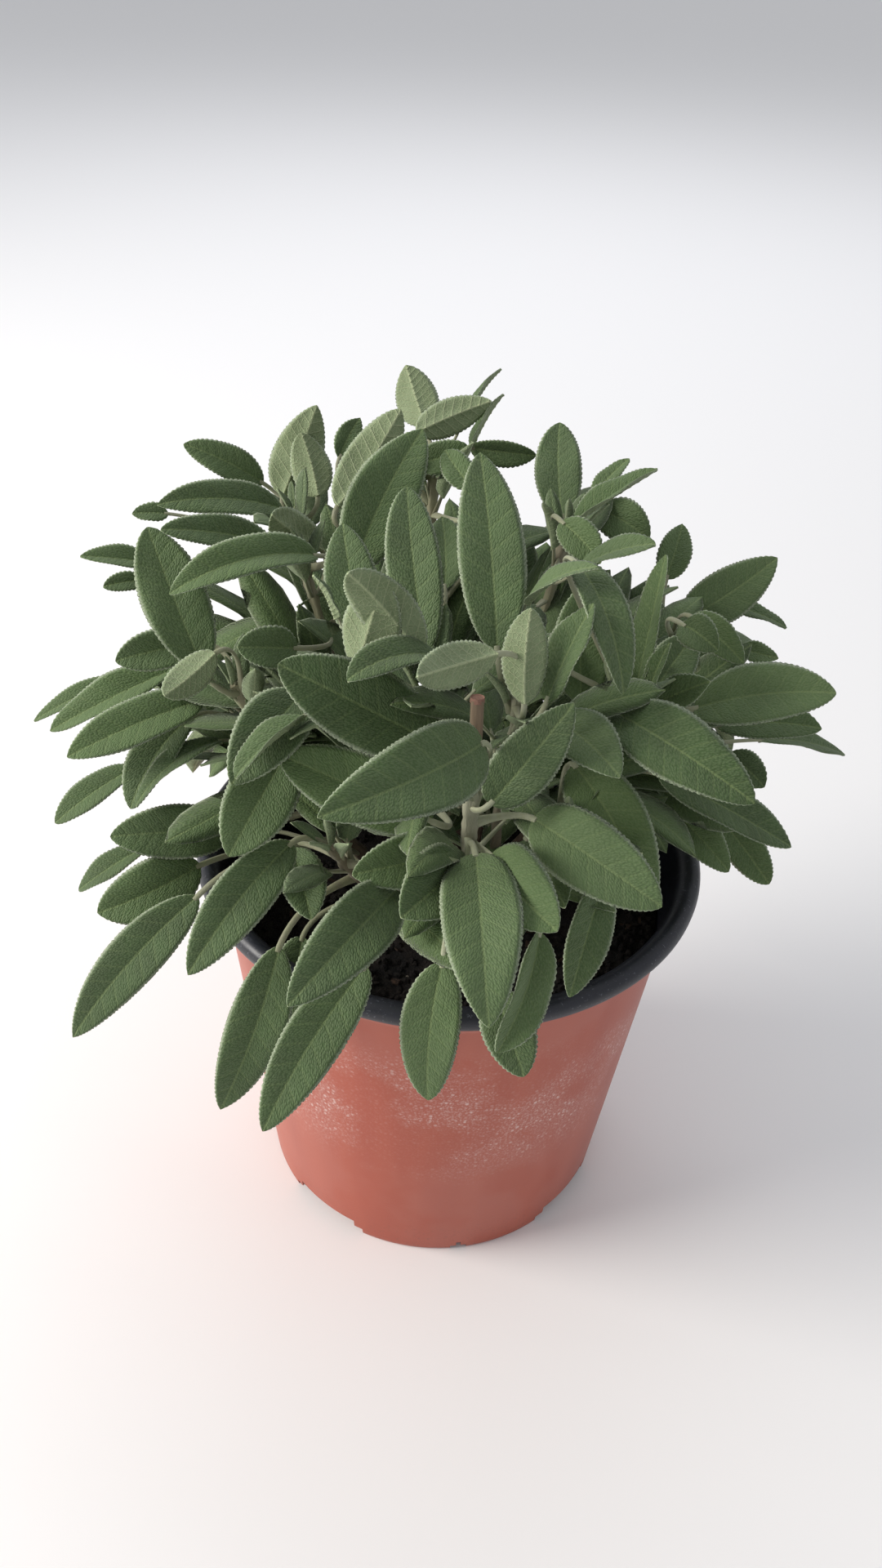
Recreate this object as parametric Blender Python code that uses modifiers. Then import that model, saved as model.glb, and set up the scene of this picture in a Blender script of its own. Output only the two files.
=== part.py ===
"""Potted sage: a tapered nursery pot with its soil, thirteen shoots and their larger leaves.

Metres, +Z up. The origin is the middle of the pot's foot, on the surface it stands on,
and the front of the plant faces -Y.
"""

from math import asin, atan2, cos, pi, radians, sin

import bmesh
import bpy
from mathutils import Euler, Vector

MM = 0.001

# Pot
POT_HEIGHT = 145
FOOT_RADIUS = 64.6
WALL_TOP_RADIUS = 77.2
RIM_RADIUS = 85
SHELL_TOP = 138.6
STEP_HEIGHT = 131
SHELL_THICK = 0.9
LINING_THICK = 0.9
GAP = 0.3
FLOOR_UNDERSIDE = 7.2
FLOOR_THICK = 1
TURN_STEPS = 48
ARCH_ANGLES = (53, 143, 233, 323)
ARCH_WIDTH = 33
ARCH_HEIGHT = 6.6
NOTCH_ANGLES = (10, 100, 190, 280)
NOTCH_WIDTH = 6
NOTCH_HEIGHT = 4.2
DRAIN_COUNT = 6
DRAIN_RADIUS = 4.5
DRAIN_CIRCLE = 44

# Soil
SOIL_TOP = 123
SOIL_EDGE = 119.5

# Shoots: where each one leaves the soil, the points it passes, its thickness there
STEM_CLEARANCE = 0.9
STEM_THICK = 2.0
STEM_TIP_THICK = 1.2
SHOOTS = {
    "front": ((3, -22, 125), (5, -56, 165), (4, -70, 196), (4, -64, 238)),
    "centre": ((12, -14, 125), (15, -36, 180), (15, -48, 230)),
    "left_centre": ((-6, -10, 125), (-10, -32, 180), (-9, -42, 228)),
    "front_left": ((-10, -21, 125), (-26, -46, 158), (-34, -57, 182)),
    "left": ((-18, -4, 125), (-48, -12, 160), (-68, -11, 206)),
    "upper_left": ((-15, 8, 125), (-38, 18, 180), (-52, 28, 230)),
    "back_left": ((-9, 18, 125), (-40, 54, 180), (-60, 72, 226)),
    "top": ((-1, 9, 125), (-10, 34, 190), (-12, 56, 248)),
    "upper_right": ((9, 12, 125), (22, 28, 190), (32, 38, 240)),
    "right": ((17, -5, 125), (36, -18, 170), (48, -27, 218)),
    "far_right": ((17, 6, 125), (46, 18, 160), (72, 26, 206)),
    "low_right": ((12, -22, 125), (24, -42, 160), (32, -51, 190)),
    "back": ((3, 22, 125), (4, 56, 180), (6, 74, 212)),
}

# Leaves: the shoot, the height at which the stalk leaves it, where the blade starts,
# where its tip is, its width, its roll about its own length, how far it bows from base
# to tip, and how far its halves fold up (mm and degrees)
LEAF_THICK = 1.1
STALK_HALF_WIDTH = 0.9
STALK_PULL = 0.45
LEAVES = (
    ("front", 190, (6, -76, 198), (10, -126, 187), 21, 0, 45, 15),
    ("front", 197, (21, -66, 203), (53, -92, 197), 20, 40, 60, 15),
    ("front", 203, (9, -70, 210), (28, -65, 239), 16, 60, 10, 10),
    ("front", 204, (6, -70, 229), (-31, -109, 233), 21, -40, 40, 15),
    ("front", 156, (-1, -82, 164), (-3, -100, 128), 17, 0, 20, 10),
    ("centre", 224, (9, -43, 240), (2, 2, 277), 19, -5, 15, 15),
    ("centre", 212, (25, -45, 221), (41, -72, 222), 17, 20, 40, 15),
    ("left_centre", 206, (-4, -54, 216), (-46, -62, 244), 22, -60, 25, 10),
    ("left_centre", 222, (-10, -33, 233), (-18, 2, 266), 16, -10, 15, 15),
    ("front_left", 172, (-14, -75, 184), (-38, -119, 183), 18, -28, 40, 15),
    ("front_left", 156, (-22, -83, 162), (-47, -115, 130), 17, -30, 20, 15),
    ("front_left", 164, (-48, -70, 155), (-64, -92, 109), 18, -40, 15, 15),
    ("front_left", 180, (-45, -58, 184), (-71, -85, 157), 17, -40, 35, 20),
    ("low_right", 182, (44, -58, 178), (35, -82, 153), 16, -45, 15, 15),
    ("left", 140, (-76, -48, 153), (-113, -71, 113), 17, -45, 20, 15),
    ("left", 146, (-79, -30, 150), (-108, -47, 143), 20, -45, 35, 15),
    ("left", 160, (-71, -18, 155), (-105, -34, 163), 18, -50, 40, 15),
    ("left", 178, (-48, -43, 204), (-61, -68, 186), 20, -30, 40, 15),
    ("left", 148, (-113, 22, 149), (-138, 6, 135), 14, -15, 25, 20),
    ("left", 186, (-81, 0, 193), (-118, -24, 185), 18, -25, 30, 20),
    ("left", 194, (-91, 10, 198), (-129, -6, 182), 16, -20, 30, 30),
    ("left", 202, (-76, -16, 214), (-94, 6, 248), 20, -15, 10, 10),
    ("upper_left", 226, (-61, 52, 236), (-98, 34, 243), 14, -40, 35, 20),
    ("upper_left", 228, (-43, -3, 246), (-81, -26, 243), 15, -30, 50, 30),
    ("back_left", 156, (-115, 34, 179), (-142, 14, 172), 10, -10, 20, 20),
    ("back_left", 220, (-73, 86, 231), (-99, 80, 246), 13, -60, 30, 20),
    ("back_left", 224, (-65, 78, 230), (-54, 92, 258), 19, -135, 10, 20),
    ("back_left", 150, (-68, 80, 160), (-96, 106, 146), 20, 0, 30, 15),
    ("back_left", 130, (-88, 50, 150), (-124, 64, 134), 18, 0, 20, 15),
    ("top", 226, (-33, -2, 241), (-15, 33, 272), 21, 30, 10, 15),
    ("top", 232, (-41, 33, 246), (-23, 56, 270), 17, -136, 10, 20),
    ("top", 246, (-16, 89, 254), (-24, 106, 269), 16, 150, 20, 20),
    ("upper_right", 234, (31, 47, 240), (29, 72, 263), 16, -10, 10, 15),
    ("right", 212, (41, -45, 225), (75, -76, 219), 20, 30, 50, 15),
    ("right", 178, (61, -25, 191), (100, -42, 179), 16, 20, 30, 20),
    ("far_right", 196, (70, -16, 209), (106, -28, 224), 20, 40, 20, 15),
    ("far_right", 164, (105, 26, 172), (142, 42, 157), 12, 10, 20, 20),
    ("far_right", 203, (75, 42, 208), (104, 50, 229), 18, 50, 10, 15),
    ("far_right", 190, (84, 58, 190), (118, 74, 178), 20, 0, 30, 15),
    ("back", 196, (2, 92, 206), (6, 126, 190), 20, 0, 30, 15),
    ("back", 202, (-22, 84, 222), (-40, 112, 228), 20, 0, 30, 15),
    ("back", 206, (32, 82, 224), (54, 106, 224), 20, 0, 30, 15),
    ("back", 150, (-16, 90, 160), (-26, 114, 126), 20, 0, 20, 15),
    ("back", 160, (38, 80, 170), (60, 106, 142), 20, 0, 20, 15),
)
STALK_ROWS = (0, 0.3, 0.65, 1)
BLADE_ROWS = (0.06, 0.16, 0.3, 0.45, 0.6, 0.75, 0.88, 0.96, 1)
TIP_HALF_WIDTH = 1.0

# Colours as Blender's linear values: colour, roughness
FINISHES = {
    "pot_terracotta": ((0.42, 0.125, 0.08), 0.5),
    "pot_black": ((0.02, 0.02, 0.024), 0.4),
    "soil": ((0.008, 0.008, 0.01), 0.9),
    "sage_stem": ((0.16, 0.13, 0.08), 0.7),
    "sage_leaf": ((0.09, 0.15, 0.075), 0.75),
}


def clear_scene():
    for thing in list(bpy.data.objects):
        bpy.data.objects.remove(thing, do_unlink=True)


def new_collection(name):
    group = bpy.data.collections.new(name)
    bpy.context.scene.collection.children.link(group)
    return group


def make_material(name):
    colour, rough = FINISHES[name]
    material = bpy.data.materials.new(name)
    material.use_nodes = True
    shader = material.node_tree.nodes["Principled BSDF"]
    shader.inputs["Base Color"].default_value = (*colour, 1)
    shader.inputs["Roughness"].default_value = rough
    shader.inputs["Metallic"].default_value = 0
    material.diffuse_color = (*colour, 1)
    return material


def move_to(thing, group):
    for old in list(thing.users_collection):
        old.objects.unlink(thing)
    group.objects.link(thing)


def outer_radius(height):
    return FOOT_RADIUS + (WALL_TOP_RADIUS - FOOT_RADIUS) * (height - 3) / (STEP_HEIGHT - 3)


def shell_profile():
    """From the middle of the floor up the inside, over the top edge, down to the foot."""
    inside = SHELL_THICK
    floor_top = FLOOR_UNDERSIDE + FLOOR_THICK
    return [
        (0, floor_top),
        (outer_radius(floor_top) - inside - 3, floor_top),
        (outer_radius(8) - inside, 8),
        (outer_radius(STEP_HEIGHT) - inside, STEP_HEIGHT),
        (outer_radius(SHELL_TOP) - inside + 0.5, SHELL_TOP),
        (outer_radius(SHELL_TOP) + 0.5, SHELL_TOP),
        (outer_radius(STEP_HEIGHT) + 0.7, STEP_HEIGHT + 1),
        (outer_radius(STEP_HEIGHT), STEP_HEIGHT - 1),
        (FOOT_RADIUS, 3),
        (FOOT_RADIUS - 0.3, 0.6),
        (FOOT_RADIUS - 1, 0),
        (FOOT_RADIUS - 4.1, 0),
        (FOOT_RADIUS - 4.6, 1),
        (FOOT_RADIUS - 5.2, FLOOR_UNDERSIDE),
        (0, FLOOR_UNDERSIDE),
    ]


def lining_profile():
    """The dark lining: up its inside, round the rolled rim, down its outside."""
    outside = SHELL_THICK + GAP
    inside = outside + LINING_THICK
    under = FLOOR_UNDERSIDE + FLOOR_THICK + GAP
    floor_top = under + FLOOR_THICK
    return [
        (0, floor_top),
        (outer_radius(floor_top) - inside - 3, floor_top),
        (outer_radius(9.5) - inside, 9.5),
        (outer_radius(STEP_HEIGHT) - inside, STEP_HEIGHT),
        (RIM_RADIUS - 8, 140.5),
        (RIM_RADIUS - 6, 143.6),
        (RIM_RADIUS - 3.6, POT_HEIGHT),
        (RIM_RADIUS - 1.4, 144.3),
        (RIM_RADIUS, 142.2),
        (RIM_RADIUS - 0.2, 140.2),
        (RIM_RADIUS - 1.4, SHELL_TOP + GAP),
        (outer_radius(SHELL_TOP) - outside + 0.5, SHELL_TOP + GAP),
        (outer_radius(STEP_HEIGHT) - outside, STEP_HEIGHT),
        (outer_radius(8.8) - outside, 8.8),
        (outer_radius(under) - outside - 3, under),
        (0, under),
    ]


def soil_profile():
    """A low mound down to its edge, then down the lining's inside to the floor."""
    inside = SHELL_THICK + LINING_THICK + 2 * GAP
    base = FLOOR_UNDERSIDE + 2 * FLOOR_THICK + 2 * GAP
    return [
        (0, SOIL_TOP),
        (38, SOIL_TOP),
        (60, SOIL_TOP - 1.5),
        (outer_radius(SOIL_EDGE) - inside, SOIL_EDGE),
        (outer_radius(11) - inside, 11),
        (outer_radius(base) - inside - 4, base),
        (0, base),
    ]


def turned(name, profile, group, material):
    """A solid of revolution about +Z from (radius, height) points in mm."""
    shape = bmesh.new()
    points = [shape.verts.new((r * MM, 0, z * MM)) for r, z in profile]
    for a, b in zip(points, points[1:]):
        shape.edges.new((a, b))
    mesh = bpy.data.meshes.new(name)
    shape.to_mesh(mesh)
    shape.free()
    thing = bpy.data.objects.new(name, mesh)
    group.objects.link(thing)
    screw = thing.modifiers.new("turn", "SCREW")
    screw.steps = TURN_STEPS
    screw.render_steps = TURN_STEPS
    screw.use_merge_vertices = True
    screw.merge_threshold = 0.00001
    mesh.materials.append(material)
    return thing


def box_cutter(name, width, depth, height, radius, angle, group):
    """A box standing across the foot ring, its middle at the given radius and angle."""
    bpy.ops.mesh.primitive_cube_add(size=1)
    cutter = bpy.context.object
    cutter.name = name
    middle = Vector((0, -radius * MM, (height - 5) / 2 * MM))
    for v in cutter.data.vertices:
        v.co = Vector((v.co.x * width, v.co.y * depth, v.co.z * (height + 5))) * MM + middle
        v.co.rotate(Euler((0, 0, radians(angle))))
    hide_cutter(cutter, group)
    return cutter


def drain_cutter(name, angle, group):
    bpy.ops.mesh.primitive_cylinder_add(
        vertices=16, radius=DRAIN_RADIUS * MM, depth=12 * MM,
        location=(DRAIN_CIRCLE * cos(angle) * MM, DRAIN_CIRCLE * sin(angle) * MM, 5 * MM),
    )
    cutter = bpy.context.object
    cutter.name = name
    hide_cutter(cutter, group)
    return cutter


def hide_cutter(cutter, group):
    cutter.hide_render = True
    cutter.display_type = "WIRE"
    move_to(cutter, group)


def cut(thing, cutter):
    boolean = thing.modifiers.new(cutter.name, "BOOLEAN")
    boolean.operation = "DIFFERENCE"
    boolean.solver = "EXACT"
    boolean.object = cutter


def make_pot(group, cutters, terracotta, black):
    shell = turned("pot_shell", shell_profile(), group, terracotta)
    lining = turned("pot_lining", lining_profile(), group, black)
    ring = FOOT_RADIUS - 2.5
    for i, angle in enumerate(ARCH_ANGLES):
        cut(shell, box_cutter(f"arch_{i}", ARCH_WIDTH, 16, ARCH_HEIGHT, ring, angle, cutters))
    for i, angle in enumerate(NOTCH_ANGLES):
        cut(shell, box_cutter(f"notch_{i}", NOTCH_WIDTH, 12, NOTCH_HEIGHT, ring, angle, cutters))
    for i in range(DRAIN_COUNT):
        drain = drain_cutter(f"drain_{i}", (i + 0.5) * 2 * pi / DRAIN_COUNT, cutters)
        cut(shell, drain)
        cut(lining, drain)


def make_stem(shoot, path, group, material):
    """A tapering tube through the shoot's points, its foot just clear of the soil."""
    curve = bpy.data.curves.new("stem_" + shoot, "CURVE")
    curve.dimensions = "3D"
    curve.bevel_depth = STEM_THICK * MM
    curve.bevel_resolution = 1
    curve.use_fill_caps = True
    line = curve.splines.new("POLY")
    points = smooth_path(path, 7)
    line.points.add(len(points) - 1)
    for i, (spot, point) in enumerate(zip(line.points, points)):
        part = i / (len(points) - 1)
        spot.co = (*(point * MM), 1)
        spot.radius = 1 + (STEM_TIP_THICK / STEM_THICK - 1) * part
    curve.materials.append(material)
    thing = bpy.data.objects.new("stem_" + shoot, curve)
    group.objects.link(thing)


def smooth_path(path, count):
    """Points along a Bezier curve that has the given points as its handles."""
    out = []
    for i in range(count):
        level = [Vector(p) for p in path]
        while len(level) > 1:
            level = [a.lerp(b, i / (count - 1)) for a, b in zip(level, level[1:])]
        out.append(level[0])
    return out


def point_at_height(path, height):
    """Where a shoot's path passes the given height, and which way it runs there."""
    points = smooth_path(path, 33)
    near = min(range(1, len(points)), key=lambda i: abs(points[i].z - height))
    return points[near], (points[near] - points[near - 1]).normalized()


def half_width(u, width):
    """Half of a sage blade's width, u from 0 at its base to 1 at its tip."""
    return max(width * 1.067 * u ** 0.5 * (1 - u) ** 0.6, TIP_HALF_WIDTH)


def blade_frame(start, tip, roll):
    """The turn that lays a blade's own length, width and face along its run."""
    run = tip - start
    heading = atan2(run.y, run.x)
    rise = asin(run.z / run.length)
    return Euler((radians(roll), -rise, heading)).to_matrix(), run.length


def bow_point(u, chord, bow):
    """A point on the bowed midrib, in the blade's own frame."""
    half = bow / 2
    length = chord * half / sin(half)
    along = (sin(half) - sin(half - bow * u)) / bow * length
    up = (cos(half - bow * u) - cos(half)) / bow * length
    return Vector((along, 0, up))


def leaf_rows(path, joint, start, tip, width, roll, bow, fold):
    """Left, middle and right points of every row, from the stalk's end to the tip."""
    start, tip = Vector(start), Vector(tip)
    turn, chord = blade_frame(start, tip, roll)
    bow, fold = radians(bow), radians(fold)
    side = turn @ Vector((0, 1, 0))
    lift = turn @ Vector((0, 0, 1))
    heading = turn @ Vector((cos(bow / 2), 0, sin(bow / 2)))
    root, along = point_at_height(path, joint)
    reach = (start - root).length
    pull = start - heading * reach * STALK_PULL
    away = (pull - root) - along * along.dot(pull - root)
    root += away.normalized() * (STEM_THICK + STEM_CLEARANCE)
    rows = []
    for s in STALK_ROWS:
        middle = root.lerp(pull, s).lerp(pull.lerp(start, s), s)
        rows.append((middle, side * STALK_HALF_WIDTH, Vector()))
    for u in BLADE_ROWS:
        half = half_width(u, width)
        middle = start + turn @ bow_point(u, chord, bow)
        rows.append((middle, side * half * cos(fold), lift * half * sin(fold)))
    return [(m + s + up, m, m - s + up) for m, s, up in rows]


def make_leaf(name, spec, group, material):
    """A three-point-wide strip laid along the rows, then given its thickness."""
    shoot, joint, start, tip, width, roll, bow, fold = spec
    rows = leaf_rows(SHOOTS[shoot], joint, start, tip, width, roll, bow, fold)
    last = len(rows) - 1
    bpy.ops.mesh.primitive_grid_add(x_subdivisions=last, y_subdivisions=2, size=1)
    thing = bpy.context.object
    thing.name = name
    for v in thing.data.vertices:
        row = rows[round((v.co.x + 0.5) * last)]
        v.co = row[round(1 - v.co.y * 2)] * MM
    solid = thing.modifiers.new("thickness", "SOLIDIFY")
    solid.thickness = LEAF_THICK * MM
    solid.offset = 0
    thing.data.materials.append(material)
    move_to(thing, group)


def make_leaves(group, material):
    counts = {}
    for spec in LEAVES:
        counts[spec[0]] = counts.get(spec[0], 0) + 1
        make_leaf(f"leaf_{spec[0]}_{counts[spec[0]]}", spec, group, material)


def main():
    clear_scene()
    group = new_collection("potted_sage")
    cutters = new_collection("cutters")
    looks = {name: make_material(name) for name in FINISHES}
    make_pot(group, cutters, looks["pot_terracotta"], looks["pot_black"])
    turned("soil", soil_profile(), group, looks["soil"])
    for shoot, path in SHOOTS.items():
        make_stem(shoot, path, group, looks["sage_stem"])
    make_leaves(group, looks["sage_leaf"])


main()
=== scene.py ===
"""Potted sage: a felted, grey-green plant on thirteen shoots in a two-tone nursery pot.

Sizes are in millimetres and turned to metres where a mesh is made. The front faces -Y.
"""
import random
from math import asin, atan2, cos, pi, radians, sin, sqrt

import bmesh
import bpy
from mathutils import Euler, Matrix, Vector, noise


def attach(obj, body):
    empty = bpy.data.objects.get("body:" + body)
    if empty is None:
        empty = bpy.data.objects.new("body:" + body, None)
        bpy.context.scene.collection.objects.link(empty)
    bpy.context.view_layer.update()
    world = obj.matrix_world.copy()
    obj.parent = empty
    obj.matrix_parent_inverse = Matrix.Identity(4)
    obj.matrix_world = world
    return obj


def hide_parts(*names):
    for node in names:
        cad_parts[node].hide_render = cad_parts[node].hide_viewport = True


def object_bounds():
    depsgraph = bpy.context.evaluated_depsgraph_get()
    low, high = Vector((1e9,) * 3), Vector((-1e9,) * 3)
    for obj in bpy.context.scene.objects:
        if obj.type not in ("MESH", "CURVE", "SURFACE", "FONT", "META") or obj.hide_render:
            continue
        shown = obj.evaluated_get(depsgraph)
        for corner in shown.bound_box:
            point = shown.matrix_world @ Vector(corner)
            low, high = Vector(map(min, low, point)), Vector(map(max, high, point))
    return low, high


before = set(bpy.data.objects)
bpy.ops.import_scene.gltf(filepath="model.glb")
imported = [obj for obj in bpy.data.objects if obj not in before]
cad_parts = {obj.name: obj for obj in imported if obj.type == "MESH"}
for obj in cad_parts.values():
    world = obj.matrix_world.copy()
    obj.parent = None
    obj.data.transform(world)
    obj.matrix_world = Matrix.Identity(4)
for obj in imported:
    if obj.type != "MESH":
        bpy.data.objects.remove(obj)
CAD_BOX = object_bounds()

MM = 0.001
UP = Vector((0, 0, 1))

# Pot, as turned: the terracotta-coloured skin and the black lining with its rolled rim
POT_HEIGHT = 145
FOOT_RADIUS = 64.6
WALL_TOP_RADIUS = 77.2
RIM_RADIUS = 85
SKIN_TOP = 138.6
STEP_HEIGHT = 131
SKIN_THICK = 0.9
LINING_THICK = 0.9
GAP = 0.3
FLOOR_UNDERSIDE = 7.2
FLOOR_THICK = 1
WALL_FROM = 3
TURN_STEPS = 192
CREASE_ANGLE = 38
ARCH_ANGLES = (53, 143, 233, 323)
ARCH_WIDTH = 33
ARCH_HEIGHT = 6.6
NOTCH_ANGLES = (10, 100, 190, 280)
NOTCH_WIDTH = 6
NOTCH_HEIGHT = 4.2
DRAIN_COUNT = 6
DRAIN_RADIUS = 4.5
DRAIN_CIRCLE = 44

# Soil
SOIL_TOP = 123
SOIL_EDGE = 119.5
SOIL_RINGS = 44
SOIL_LOOSE_ABOVE = 115
CLODS_WITHIN = 74
ROOT_PATH = ((44, -48, 122.4), (52, -56, 126.5), (63, -47, 125.6), (60, -39, 121.5))
# Bits on the soil: seed, smallest and largest half size, and how far each tips over (radians)
CRUMB = 3, (0.8, 0.8, 0.8), (2.4, 2.0, 1.6), 3.0
SPLINTER = 7, (1.2, 0.4, 0.2), (4.2, 1.1, 0.5), 0.5
GRAIN = 11, (0.5, 0.5, 0.5), (1.1, 1.1, 1.1), 3.0

# Shoots: the points each one is drawn towards, from the soil to its tip
STEM_RADIUS = 2.0
STEM_TIP_RADIUS = 1.2
JOINT_SPREAD = 1.8
STEM_STEPS = 64
STEM_WANDER = 1.2
STEM_BELOW_SOIL = 6
EULER = 2.718
PRUNED_RADIUS = 1.9
PRUNED = "front"
PRUNED_CLEAR_ABOVE = 185
PRUNED_DRY_ABOVE = 213
SHOOTS = {
    "front": ((3, -22, 125), (5, -56, 165), (4, -70, 196), (4, -64, 238)),
    "centre": ((12, -14, 125), (15, -36, 180), (15, -48, 230)),
    "left_centre": ((-6, -10, 125), (-10, -32, 180), (-9, -42, 228)),
    "front_left": ((-10, -21, 125), (-26, -46, 158), (-34, -57, 182)),
    "left": ((-18, -4, 125), (-48, -12, 160), (-68, -11, 206)),
    "upper_left": ((-15, 8, 125), (-38, 18, 180), (-52, 28, 230)),
    "back_left": ((-9, 18, 125), (-40, 54, 180), (-60, 72, 226)),
    "top": ((-1, 9, 125), (-10, 34, 190), (-12, 56, 248)),
    "upper_right": ((9, 12, 125), (22, 28, 190), (32, 38, 240)),
    "right": ((17, -5, 125), (36, -18, 170), (48, -27, 218)),
    "far_right": ((17, 6, 125), (46, 18, 160), (72, 26, 206)),
    "low_right": ((12, -22, 125), (24, -42, 160), (32, -51, 190)),
    "back": ((3, 22, 125), (4, 56, 180), (6, 74, 212)),
}

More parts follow.
